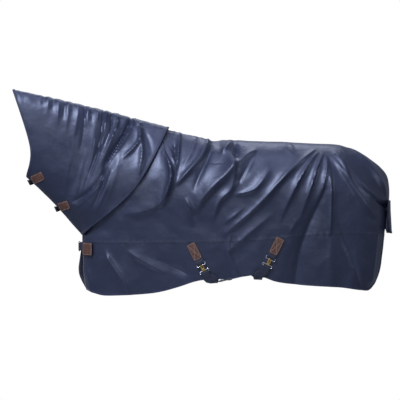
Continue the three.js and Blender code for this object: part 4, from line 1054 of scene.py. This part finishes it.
LEATHER = 0.0025
CORNER = 0.008
ON_WEBBING, ON_CLOTH = 0.0069, 0.0025
pale_rows = {"rug": [], "near_chest_flap": [], "neck_cover": []}


def leather_patch(name, place, axes, centre, length, width, height, body, crossed):
    """A patch with rounded corners and edges, and the rows of its stitching."""
    share = np.sin(np.linspace(-1, 1, 33) * math.pi / 2)
    s, t = np.meshgrid(share, np.sin(np.linspace(-1, 1, 25) * math.pi / 2), indexing="ij")
    a, b = s * length / 2, t * width / 2
    over_a, over_b = np.abs(a) - length / 2 + CORNER, np.abs(b) - width / 2 + CORNER
    both = (over_a > 0) & (over_b > 0)
    reach = np.maximum(1e-9, np.hypot(over_a, over_b))
    squeeze = np.where(both, np.maximum(over_a, over_b) / reach, 1)
    a = np.where(both, np.sign(a) * (length / 2 - CORNER + over_a * squeeze), a)
    b = np.where(both, np.sign(b) * (width / 2 - CORNER + over_b * squeeze), b)
    edge = np.minimum(length / 2 * (1 - np.abs(s)), width / 2 * (1 - np.abs(t)))
    groove = 0.0006 * np.exp(-((edge - 0.005) / 0.0012) ** 2)
    top = height + LEATHER * (0.45 + 0.55 * arc(edge / 0.003)) - groove
    outer, _ = on_patch(place, axes, centre, a, b, top)
    inner, _ = on_patch(place, axes, centre, a, b, np.full(a.shape, height - 0.0015))
    grid_map = np.stack([a, b], -1)
    mesh = sheet_mesh(name + "_leather", outer, inner, grid_map)
    made = link(name + "_leather", mesh, patch_leather)
    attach(made, body)
    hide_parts(name)
    ha, hb = length / 2 - 0.005, width / 2 - 0.005
    border = [(-ha, -hb), (ha, -hb), (ha, hb), (-ha, hb), (-ha, -hb)]
    rows = [border]
    if crossed:
        rows += [[(-ha * 0.9, -hb * 0.85), (ha * 0.9, hb * 0.85)],
                 [(-ha * 0.9, hb * 0.85), (ha * 0.9, -hb * 0.85)]]
    for row in rows:
        row = np.array(row)
        t = np.linspace(0, len(row) - 1, 14 * (len(row) - 1) + 1)
        ra, rb = (np.interp(t, np.arange(len(row)), row[:, k]) for k in (0, 1))
        points, out = on_patch(place, axes, centre, ra, rb, height + LEATHER + 0.0001)
        pale_rows[body].append((points, out))


SURCINGLES = (("front", 0.181, -0.848, 27, -0.101), ("rear", 0.467, -0.811, -26, -0.097))
strap_axes = {}
for end, x, z, tilt, centre in SURCINGLES:
    for side, flank, height in (("near", NEAR, ON_WEBBING), ("off", OFF, ON_CLOTH)):
        place = place_on_body(flank)
        axes = axes_at(place, x * BACK_LENGTH, z * DROP, math.radians(tilt))
        strap_axes[side, end] = axes
        leather_patch(f"{side}_{end}_surcingle_patch", place, axes, centre, 0.105, 0.053, height,
                      "rug", True)
for side, flank in (("near", NEAR), ("off", OFF)):
    place = place_on_body(flank)
    axes = axes_at(place, -0.308 * BACK_LENGTH, -0.746 * DROP, math.radians(-90))
    leather_patch(side + "_chest_patch", place, axes, 0.0, 0.086, 0.074, ON_WEBBING + 0.0055,
                  "near_chest_flap" if flank == NEAR else "rug", False)
    for end, x, z, tilt in (("front", -0.742, -0.316, -62), ("rear", -0.582, -0.485, -64)):
        place = place_on_neck(flank)
        axes = axes_at(place, x, z, math.radians(tilt))
        leather_patch(f"{side}_{end}_neck_patch", place, axes, 0.0, 0.083, 0.054, ON_CLOTH,
                      "neck_cover", False)

# ---------------------------------------------------------------- webbing
# Woven polyester webbing, 50 mm wide: folded tabs round the fasteners' loops and the two belly
# straps that cross under the horse. Routes are points with the direction across the webbing.
webbing, tree = new_material("woven polyester webbing")
weave_place = add(tree, "ShaderNodeUVMap", uv_map="cloth").outputs["UV"]
WEBBING_RIB = 0.003  # drawn coarser than the real 1.5 mm
chevron = add(tree, "ShaderNodeTexWave", {"Vector": weave_place, "Scale": WAVES / WEBBING_RIB},
              bands_direction="DIAGONAL")
cross_rib = add(tree, "ShaderNodeTexWave", {"Vector": weave_place, "Scale": WAVES / WEBBING_RIB},
                bands_direction="Y")
weave = add(tree, "ShaderNodeMath", {0: chevron.outputs["Fac"], 1: cross_rib.outputs["Fac"]},
            operation="MAXIMUM")
fade = add(tree, "ShaderNodeTexNoise", {"Vector": weave_place, "Scale": 18.0, "Detail": 4.0})
weave_bump = add(tree, "ShaderNodeBump", {"Height": weave.outputs[0], "Strength": 0.5,
                                          "Distance": 0.0006})
colour = add(tree, "ShaderNodeValToRGB", {"Fac": fade.outputs["Fac"]},
             stops=[(0.3, "#1b2032"), (0.7, "#262c40")])
shader = add(tree, "ShaderNodeBsdfPrincipled", {"Base Color": colour.outputs[0],
                                                "Roughness": 0.75,
                                                "Normal": weave_bump.outputs[0],
                                                "Sheen Weight": 0.3, "Sheen Roughness": 0.4})
add(tree, "ShaderNodeOutputMaterial", {"Surface": shader.outputs[0]})

TAB_ROUTES = {
    "near_front_tab": ((.1935, -.2796, -.7298, .88, -.14, .45),
        (.2077, -.2812, -.7579, .88, -.14, .45), (.2295, -.2832, -.8012, .88, -.14, .45),
        (.2434, -.2886, -.8302, .88, -.14, .45), (.2446, -.2899, -.8328, .88, -.14, .45),
        (.2447, -.2927, -.834, .88, -.14, .45), (.2438, -.2956, -.833, .88, -.14, .45),
        (.2423, -.2967, -.8305, .88, -.14, .45), (.2291, -.2859, -.8013, .88, -.14, .45),
        (.2073, -.2838, -.758, .88, -.14, .45), (.1931, -.2823, -.7299, .88, -.14, .45)),
    "near_rear_tab": ((.7099, -.3265, -.6957, .9, -.01, -.44),
        (.6962, -.3255, -.724, .9, -.01, -.44), (.675, -.3236, -.7675, .9, -.01, -.44),
        (.6625, -.3266, -.7931, .9, -.01, -.44), (.6612, -.3277, -.7957, .9, -.01, -.44),
        (.6605, -.3305, -.7969, .9, -.01, -.44), (.661, -.3334, -.7959, .9, -.01, -.44),
        (.6622, -.3348, -.7934, .9, -.01, -.44), (.6749, -.3263, -.7676, .9, -.01, -.44),
        (.6961, -.3282, -.7241, .9, -.01, -.44), (.7098, -.3292, -.6958, .9, -.01, -.44)),
    "near_chest_tab": ((-.4098, -.1325, -.7312, 0, 0, -1), (-.4312, -.111, -.7312, 0, 0, -1),
        (-.4499, -.0871, -.7312, 0, 0, -1), (-.4636, -.0635, -.7312, 0, 0, -1),
        (-.4902, -.0257, -.731, 0, 0, -1), (-.4929, -.0242, -.731, 0, 0, -1),
        (-.4959, -.025, -.731, 0, 0, -1), (-.4974, -.0278, -.731, 0, 0, -1),
        (-.4966, -.0308, -.731, 0, 0, -1), (-.4661, -.0645, -.7313, 0, 0, -1),
        (-.4521, -.0886, -.7313, 0, 0, -1), (-.4332, -.1127, -.7313, 0, 0, -1),
        (-.4116, -.1345, -.7313, 0, 0, -1)),
    "off_chest_tab": ((-.4097, .1361, -.7306, 0, 0, -1), (-.4311, .1156, -.7305, 0, 0, -1),
        (-.4497, .0932, -.7304, 0, 0, -1), (-.4634, .0721, -.7304, 0, 0, -1),
        (-.4902, .0267, -.731, 0, 0, -1), (-.4929, .0252, -.731, 0, 0, -1),
        (-.4959, .026, -.731, 0, 0, -1), (-.4974, .0288, -.731, 0, 0, -1),
        (-.4966, .0318, -.731, 0, 0, -1), (-.4658, .0733, -.7301, 0, 0, -1),
        (-.4519, .0948, -.7302, 0, 0, -1), (-.4331, .1174, -.7303, 0, 0, -1),
        (-.4114, .1382, -.7304, 0, 0, -1)),
}
BELLY_ROUTES = {
    "front_belly_strap": ((.2893, -.2901, -.9207, .88, -.14, .45),
        (.2758, -.2894, -.8939, .88, -.14, .45), (.2694, -.2901, -.8815, .88, -.14, .45),
        (.2679, -.2912, -.879, .88, -.14, .45), (.267, -.294, -.878, .88, -.14, .45),
        (.2671, -.2969, -.8792, .88, -.14, .45), (.2682, -.2981, -.8818, .88, -.14, .45),
        (.2746, -.298, -.8943, .88, -.14, .45), (.2888, -.2941, -.9209, .88, -.14, .45),
        (.3214, -.2991, -.9193, .9, -.23, .37), (.3214, -.2951, -.9373, .91, -.33, .26),
        (.3214, -.2791, -.9453, .89, -.44, .12), (.3434, -.2074, -.903, .85, -.52, 0),
        (.3654, -.1642, -.9018, .85, -.52, 0), (.3985, -.0994, -.9, .85, -.52, 0),
        (.4536, .0087, -.897, .85, -.52, 0), (.5087, .1168, -.894, .85, -.52, 0),
        (.5418, .1816, -.8922, .85, -.52, 0), (.5638, .2248, -.891, .85, -.52, 0),
        (.5858, .3032, -.923, .91, -.41, -.11), (.5858, .3192, -.915, .94, -.24, -.26),
        (.5858, .3232, -.897, .93, -.1, -.36), (.6452, .3222, -.8287, .9, .01, -.44),
        (.6583, .3238, -.8017, .9, .01, -.44), (.667, .3249, -.7838, .9, .01, -.44),
        (.6714, .3239, -.7747, .9, .01, -.44)),
    "rear_belly_strap": ((.6181, -.3202, -.8841, .9, -.01, -.44),
        (.6312, -.3219, -.8572, .9, -.01, -.44), (.6373, -.3236, -.8447, .9, -.01, -.44),
        (.6385, -.325, -.8422, .9, -.01, -.44), (.639, -.3279, -.8412, .9, -.01, -.44),
        (.6383, -.3307, -.8424, .9, -.01, -.44), (.637, -.3318, -.845, .9, -.01, -.44),
        (.6309, -.3305, -.8576, .9, -.01, -.44), (.618, -.3243, -.8843, .9, -.01, -.44),
        (.5858, -.3232, -.897, .93, .1, -.36), (.5858, -.3192, -.915, .94, .24, -.26),
        (.5858, -.3032, -.923, .91, .41, -.11), (.5638, -.2248, -.888, .85, .52, 0),
        (.5418, -.1816, -.8948, .85, .52, 0), (.5087, -.1168, -.905, .85, .52, 0),
        (.4536, -.0087, -.922, .85, .52, 0), (.3985, .0994, -.939, .85, .52, 0),
        (.3654, .1642, -.9492, .85, .52, 0), (.3434, .2074, -.956, .85, .52, 0),
        (.3214, .2791, -.9453, .89, .44, .12), (.3214, .2951, -.9373, .91, .33, .26),
        (.3214, .2991, -.9193, .9, .23, .37), (.2599, .2872, -.862, .88, .14, .45),
        (.2464, .2865, -.8352, .88, .14, .45), (.2374, .2859, -.8174, .88, .14, .45),
        (.2331, .2842, -.8084, .88, .14, .45)),
}
THROAT_ROUTES = {
    "front_throat_strap": ((-.8028, -.01, -.3448, -.47, 0, .88), (-.8028, 0, -.3448, -.47, 0, .88),
        (-.8028, .01, -.3448, -.47, 0, .88), (-.781, .0529, -.3371, -.39, .55, .74),
        (-.7698, .0678, -.331, -.45, .31, .84), (-.7574, .0782, -.3251, -.46, .22, .86),
        (-.7453, .0857, -.3195, -.46, .17, .87), (-.7334, .0915, -.314, -.47, .13, .88),
        (-.7216, .0963, -.3087, -.47, .1, .88)),
    "rear_throat_strap": ((-.6401, -.01, -.5066, -.44, 0, .9), (-.6401, 0, -.5066, -.44, 0, .9),
        (-.6401, .01, -.5066, -.44, 0, .9), (-.6188, .0463, -.4997, -.36, .56, .75),
        (-.6085, .0614, -.4959, -.41, .34, .85), (-.5975, .0719, -.4924, -.42, .26, .87),
        (-.587, .0804, -.4896, -.43, .23, .87), (-.5771, .0894, -.4864, -.43, .18, .88),
        (-.5668, .0989, -.4829, -.44, .1, .89)),
}


def drawn_smooth(points, spacing):
    """Points along a smooth line through unevenly spaced ones."""
    p = np.array(points, float)
    s = lengths_along(p[:, :3])
    slope = np.gradient(p, s, axis=0)
    out = []
    for i in range(len(p) - 1):
        h = s[i + 1] - s[i]
        count = max(2, round(h / spacing))
        w = (np.arange(count) / count)[:, None]
        out.append((1 + 2 * w) * (1 - w) ** 2 * p[i] + w * (1 - w) ** 2 * h * slope[i]
                   + w * w * (3 - 2 * w) * p[i + 1] + w * w * (w - 1) * h * slope[i + 1])
    return np.concatenate(out + [p[-1:]])


def strap(name, route, width, node, thickness=0.0022, spacing=0.008):
    """A flat strap with rounded selvedges along a route."""
    rows = drawn_smooth(route, spacing)
    points, across = rows[:, :3], rows[:, 3:]
    along = unit(np.gradient(points, axis=0))
    across = unit(across - along * np.sum(across * along, -1, keepdims=True))
    out = np.cross(across, along)
    half, round_off = width / 2, thickness / 2
    section = [(-half, 0), (-half + round_off, 1), (-half / 2, 1), (0, 1), (half / 2, 1),
               (half - round_off, 1), (half, 0), (half - round_off, -1), (half / 2, -1), (0, -1),
               (-half / 2, -1), (-half + round_off, -1)]
    rings = np.stack([points + across * a + out * b * thickness / 2 for a, b in section], 1)
    mesh = swept(name, rings, lengths_along(points), np.array([a for a, _ in section]))
    made = link(name, mesh, webbing)
    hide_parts(node)
    return made


for node, route in TAB_ROUTES.items():
    made = strap(node + "_webbing", route, 0.05, node, spacing=0.004)
    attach(made, "near_chest_flap" if node == "near_chest_tab" else "rug")
for node, route in BELLY_ROUTES.items():
    made = strap(node + "_webbing", route, 0.05, node)
    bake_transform(made)

# ---------------------------------------------------------------- throat straps
# Narrower webbing that closes the neck cover under the throat: sewn on at the near patch, it
# passes round the throat and grips the off patch.
for node, route in THROAT_ROUTES.items():
    made = strap(node + "_webbing", route, 0.036, node)
    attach(made, node)

# ---------------------------------------------------------------- fasteners
# T-hooks: a loop of nickel-plated wire and a cast brass plate with a slot on the tab, a cast
# brass T-hook and a second loop on the strap. Castings have rounded edges, and the brass is
# a little dull in its hollows.
# Plated and polished: bright and cool, with slightly uneven gloss from handling.
nickel, tree = new_material("nickel-plated steel")
place = add(tree, "ShaderNodeTexCoord").outputs["Object"]
handling = add(tree, "ShaderNodeTexNoise", {"Vector": place, "Scale": 150.0, "Detail": 3.0})
rough = add(tree, "ShaderNodeMapRange", {"Value": handling.outputs["Fac"], "To Min": 0.14,
                                         "To Max": 0.3})
colour = add(tree, "ShaderNodeValToRGB", {"Fac": handling.outputs["Fac"]},
             stops=[(0.3, "#d9dadd"), (0.7, "#ebecef")])
shader = add(tree, "ShaderNodeBsdfPrincipled", {"Base Color": colour.outputs[0], "Metallic": 1.0,
                                                "Roughness": rough.outputs[0]})
add(tree, "ShaderNodeOutputMaterial", {"Surface": shader.outputs[0]})
# Cast and left unpolished: warm yellow, softly glossy, a little pitted.
brass, tree = new_material("cast brass")
place = add(tree, "ShaderNodeTexCoord").outputs["Object"]
tarnish = add(tree, "ShaderNodeTexNoise", {"Vector": place, "Scale": 120.0, "Detail": 4.0})
cast_skin = add(tree, "ShaderNodeBump", {"Height": tarnish.outputs["Fac"], "Strength": 0.25,
                                         "Distance": 0.0004})
rough = add(tree, "ShaderNodeMapRange", {"Value": tarnish.outputs["Fac"], "To Min": 0.2,
                                         "To Max": 0.42})
colour = add(tree, "ShaderNodeValToRGB", {"Fac": tarnish.outputs["Fac"]},
             stops=[(0.3, "#c29c55"), (0.7, "#ecd08a")])
shader = add(tree, "ShaderNodeBsdfPrincipled", {"Base Color": colour.outputs[0], "Metallic": 1.0,
                                                "Roughness": rough.outputs[0],
                                                "Normal": cast_skin.outputs[0]})
add(tree, "ShaderNodeOutputMaterial", {"Surface": shader.outputs[0]})

WIRE = 0.0023
LOOP_ALONG, LOOP_ACROSS, LOOP_CORNER = 0.00625, 0.02925, 0.0035


def wire_loop(name, axes, centre, body, node):
    """A rounded rectangle of wire in a fastener's plane."""
    origin, down, across, out = axes
    path = []
    for quarter, (sa, sb) in enumerate(((1, 1), (-1, 1), (-1, -1), (1, -1))):
        for turn in np.linspace(0, math.pi / 2, 7):
            angle = quarter * math.pi / 2 + turn
            path.append((sa * (LOOP_ALONG - LOOP_CORNER) + LOOP_CORNER * math.cos(angle),
                         sb * (LOOP_ACROSS - LOOP_CORNER) + LOOP_CORNER * math.sin(angle)))
    path = np.array(path)
    thirds = np.linspace(0, 1, 4)[:-1, None]
    path = np.concatenate([p + (q - p) * thirds if np.hypot(*(q - p)) > 0.01 else p[None]
                           for p, q in zip(path, np.roll(path, -1, 0))])
    middle = origin + down * (centre + path[:, :1]) + across * path[:, 1:]
    side_way = unit(np.cross(unit(np.roll(middle, -1, 0) - np.roll(middle, 1, 0)), out))
    angles = np.linspace(0, 2 * math.pi, 11)[:-1]
    rings = np.stack([middle + WIRE * (side_way * math.cos(a) + out * math.sin(a))
                      for a in angles], 1)
    mesh = swept(name, rings, lengths_along(middle), WIRE * angles, closed=True)
    made = link(name, mesh, nickel)
    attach(made, body)
    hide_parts(node)


WAIST = 0.74  # of a casting's width in the CAD, which the real one narrows to


def casting(node, body, finish, rounding, axes=None):
    """A copy of a CAD casting with its edges rounded over, drawn in to its waist."""
    made = link(node + "_cast", bpy.data.objects[node].data.copy())
    made.data.materials.clear()
    made.data.materials.append(finish)
    if axes:
        origin, _, across, _ = axes
        points = np.empty(len(made.data.vertices) * 3)
        made.data.vertices.foreach_get("co", points)
        points = points.reshape(-1, 3)
        wide = (points - origin) @ across
        points -= across * (wide * (1 - WAIST))[:, None]
        made.data.vertices.foreach_set("co", points.ravel())
    weld = made.modifiers.new("weld", "WELD")
    weld.merge_threshold = 1e-5
    flat = made.modifiers.new("flats", "DECIMATE")
    flat.decimate_type = "DISSOLVE"
    flat.angle_limit = math.radians(1)
    bevel = made.modifiers.new("rounding", "BEVEL")
    bevel.width = rounding
    bevel.segments = 3
    bevel.limit_method = "ANGLE"
    bevel.angle_limit = math.radians(35)
    seen = made.evaluated_get(bpy.context.evaluated_depsgraph_get())
    mesh = bpy.data.meshes.new_from_object(seen)
    made.modifiers.clear()
    made.data = mesh
    mesh.shade_smooth()
    mesh.set_sharp_from_angle(angle=math.radians(40))
    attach(made, body)
    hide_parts(node)
    return made


CHEST_Z = -0.731
chest_origin = np.array([float(chest_line[NEAR](CHEST_Z)) * BACK_LENGTH - 0.01, -0.008, CHEST_Z])
fastener_axes = {
    "front": strap_axes["near", "front"], "rear": strap_axes["near", "rear"],
    "chest": (chest_origin, np.array([0.0, 1, 0]), np.array([0.0, 0, -1]), np.array([-1.0, 0, 0]))}
FASTENER_HEIGHT = 0.01
for end, (origin, down, across, out) in fastener_axes.items():
    axes = (origin + out * FASTENER_HEIGHT, down, across, out)
    tab_body = "near_chest_flap" if end == "chest" else "rug"
    strap_body = "rug" if end == "chest" else end + "_belly_strap"
    wire_loop(end + "_tab_loop", axes, -0.014, tab_body, end + "_slot_loop")
    wire_loop(end + "_strap_loop", axes, 0.031, strap_body, end + "_hook_loop")
    casting(end + "_slot_plate", tab_body, brass, 0.0012, axes)
    casting(end + "_t_hook", strap_body, brass, 0.0009, axes)
for end in ("front", "rear"):
    casting(end + "_slider", end + "_slider", nickel, 0.0008)

# ---------------------------------------------------------------- stitching
# Lockstitch in thick thread: pale on the leather, navy on the seams and bindings. Each stitch
# is a short grain of thread laid along its row.
# Bonded thread: pale and half matt, so that each stitch stands out on the leather.
pale_thread, tree = new_material("pale bonded polyester thread")
place = add(tree, "ShaderNodeTexCoord").outputs["Object"]
twist = add(tree, "ShaderNodeTexNoise", {"Vector": place, "Scale": 300.0, "Detail": 2.0})
colour = add(tree, "ShaderNodeValToRGB", {"Fac": twist.outputs["Fac"]},
             stops=[(0.3, "#b59a86"), (0.7, "#d8c2ae")])
shader = add(tree, "ShaderNodeBsdfPrincipled", {"Base Color": colour.outputs[0], "Roughness": 0.6,
                                                "Sheen Weight": 0.3})
add(tree, "ShaderNodeOutputMaterial", {"Surface": shader.outputs[0]})
# The same thread in navy: seen only as a fine broken line beside each seam.
navy_thread, tree = new_material("navy bonded polyester thread")
place = add(tree, "ShaderNodeTexCoord").outputs["Object"]
twist = add(tree, "ShaderNodeTexNoise", {"Vector": place, "Scale": 300.0, "Detail": 2.0})
colour = add(tree, "ShaderNodeValToRGB", {"Fac": twist.outputs["Fac"]},
             stops=[(0.3, "#161c30"), (0.7, "#222a42")])
shader = add(tree, "ShaderNodeBsdfPrincipled", {"Base Color": colour.outputs[0],
                                                "Roughness": 0.55, "Sheen Weight": 0.3})
add(tree, "ShaderNodeOutputMaterial", {"Surface": shader.outputs[0]})

stitching = bpy.data.node_groups.new("stitching", "GeometryNodeTree")
for name, kind, way in (("Rows", "NodeSocketGeometry", "INPUT"),
                        ("Spacing", "NodeSocketFloat", "INPUT"),
                        ("Length", "NodeSocketFloat", "INPUT"),
                        ("Thickness", "NodeSocketFloat", "INPUT"),
                        ("Seed", "NodeSocketInt", "INPUT"),
                        ("Thread", "NodeSocketMaterial", "INPUT"),
                        ("Stitches", "NodeSocketGeometry", "OUTPUT")):
    stitching.interface.new_socket(name, in_out=way, socket_type=kind)
given = stitching.nodes.new("NodeGroupInput").outputs
curve = add(stitching, "GeometryNodeMeshToCurve", {"Mesh": given["Rows"]})
spots = add(stitching, "GeometryNodeResampleCurve", {"Curve": curve.outputs[0],
                                                     "Length": given["Spacing"]}, mode="LENGTH")
tangent = add(stitching, "GeometryNodeInputTangent")
outward = add(stitching, "GeometryNodeInputNamedAttribute", {"Name": "out"},
              data_type="FLOAT_VECTOR")
turned = add(stitching, "FunctionNodeAxesToRotation",
             {"Primary Axis": tangent.outputs[0], "Secondary Axis": outward.outputs[0]},
             primary_axis="X", secondary_axis="Z")
uneven = add(stitching, "FunctionNodeRandomValue",
             {"Min": 0.42, "Max": 0.54, "Seed": given["Seed"]}, data_type="FLOAT")
length = add(stitching, "ShaderNodeMath", {0: given["Length"], 1: uneven.outputs["Value"]},
             operation="MULTIPLY")
half_thick = add(stitching, "ShaderNodeMath", {0: given["Thickness"], 1: 0.5}, operation="MULTIPLY")
size = add(stitching, "ShaderNodeCombineXYZ", {"X": length.outputs[0], "Y": half_thick.outputs[0],
                                               "Z": half_thick.outputs[0]})
grain = add(stitching, "GeometryNodeMeshUVSphere", {"Segments": 6, "Rings": 4, "Radius": 1.0})
laid = add(stitching, "GeometryNodeInstanceOnPoints",
           {"Points": spots.outputs[0], "Instance": grain.outputs[0],
            "Rotation": turned.outputs[0], "Scale": size.outputs[0]})
real = add(stitching, "GeometryNodeRealizeInstances", {"Geometry": laid.outputs[0]})
threaded = add(stitching, "GeometryNodeSetMaterial", {"Geometry": real.outputs[0],
                                                      "Material": given["Thread"]})
add(stitching, "NodeGroupOutput", {"Stitches": threaded.outputs[0]})
sockets = {item.name: item.identifier for item in stitching.interface.items_tree
           if item.in_out == "INPUT"}


def sewn(name, rows, thread, spacing, length, thickness):
    """Stitches along rows of points with their outward directions, as one mesh."""
    points, edges, outs = [], [], []
    for path, out in rows:
        start = sum(len(p) for p in points)
        points.append(path)
        outs.append(out)
        edges += [(start + i, start + i + 1) for i in range(len(path) - 1)]
    mesh = bpy.data.meshes.new(name)
    mesh.from_pydata(np.concatenate(points).tolist(), edges, [])
    mesh.attributes.new("out", "FLOAT_VECTOR", "POINT").data.foreach_set(
        "vector", np.concatenate(outs).astype(np.float32).ravel())
    made = link(name, mesh)
    modifier = made.modifiers.new("stitching", "NODES")
    modifier.node_group = stitching
    for key, value in (("Spacing", spacing), ("Length", length), ("Thickness", thickness),
                       ("Seed", 7), ("Thread", thread)):
        modifier[sockets[key]] = value
    seen = made.evaluated_get(bpy.context.evaluated_depsgraph_get())
    result = bpy.data.meshes.new_from_object(seen)
    made.modifiers.clear()
    made.data = result
    result.shade_smooth()
    return made


for body, rows in pale_rows.items():
    made = sewn("patch_stitches_" + body, rows, pale_thread, 0.0062, 0.0052, 0.0016)
    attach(made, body)


def seam_row(line, above, flank, rise=0.0):
    """A row of stitches beside a seam line of the side view."""
    t, _ = even_steps(lambda t: line(t), 160)
    x, z = line(t)[:, 0], line(t)[:, 1] + above
    return body_shell(x, z, flank, rise + 0.0004)


def tape_row(at, inset_by, height):
    t, _ = even_steps(lambda t: at(t, np.full_like(t, 0.0))[0], 160)
    points, normals = at(t, np.full_like(t, inset_by))
    return points + normals * height, normals


YOKE_FROM, YOKE_TO, YOKE_DROP = 0.27, 1.31, 0.43  # two rows across each flank of the back
navy_rows = {"rug": [], "near_chest_flap": [], "neck_cover": []}
for flank in (NEAR, OFF):
    for above in (-0.003, 0.004):
        lap_rise = 0.0013 * float(smooth(1 - (LAP + above) / 0.02))
        navy_rows["rug"].append(seam_row(belly_seam, above, flank, lap_rise))
    yoke = np.linspace(YOKE_FROM, YOKE_TO, 160)
    for drop in (YOKE_DROP - 0.004, YOKE_DROP + 0.004):
        navy_rows["rug"].append(body_shell(yoke, np.full_like(yoke, -drop), flank, 0.0004))
    navy_rows["rug"].append(tape_row(edge_of(lower_patch, flank, "hem"), HEM_TAPE - 0.003, 0.0019))
    body = "near_chest_flap" if flank == NEAR else "rug"
    navy_rows[body].append(tape_row(edge_of(chest_patches[flank], flank, "front"),
                                    EDGE_TAPE - 0.003, 0.0019))
    for edge in ("poll", "collar", "throat"):
        navy_rows["neck_cover"].append(tape_row(neck_edge(flank, edge), EDGE_TAPE - 0.003, 0.0019))
for body, rows in navy_rows.items():
    made = sewn("seam_stitches_" + body, rows, navy_thread, 0.0075, 0.006, 0.0012)
    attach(made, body)
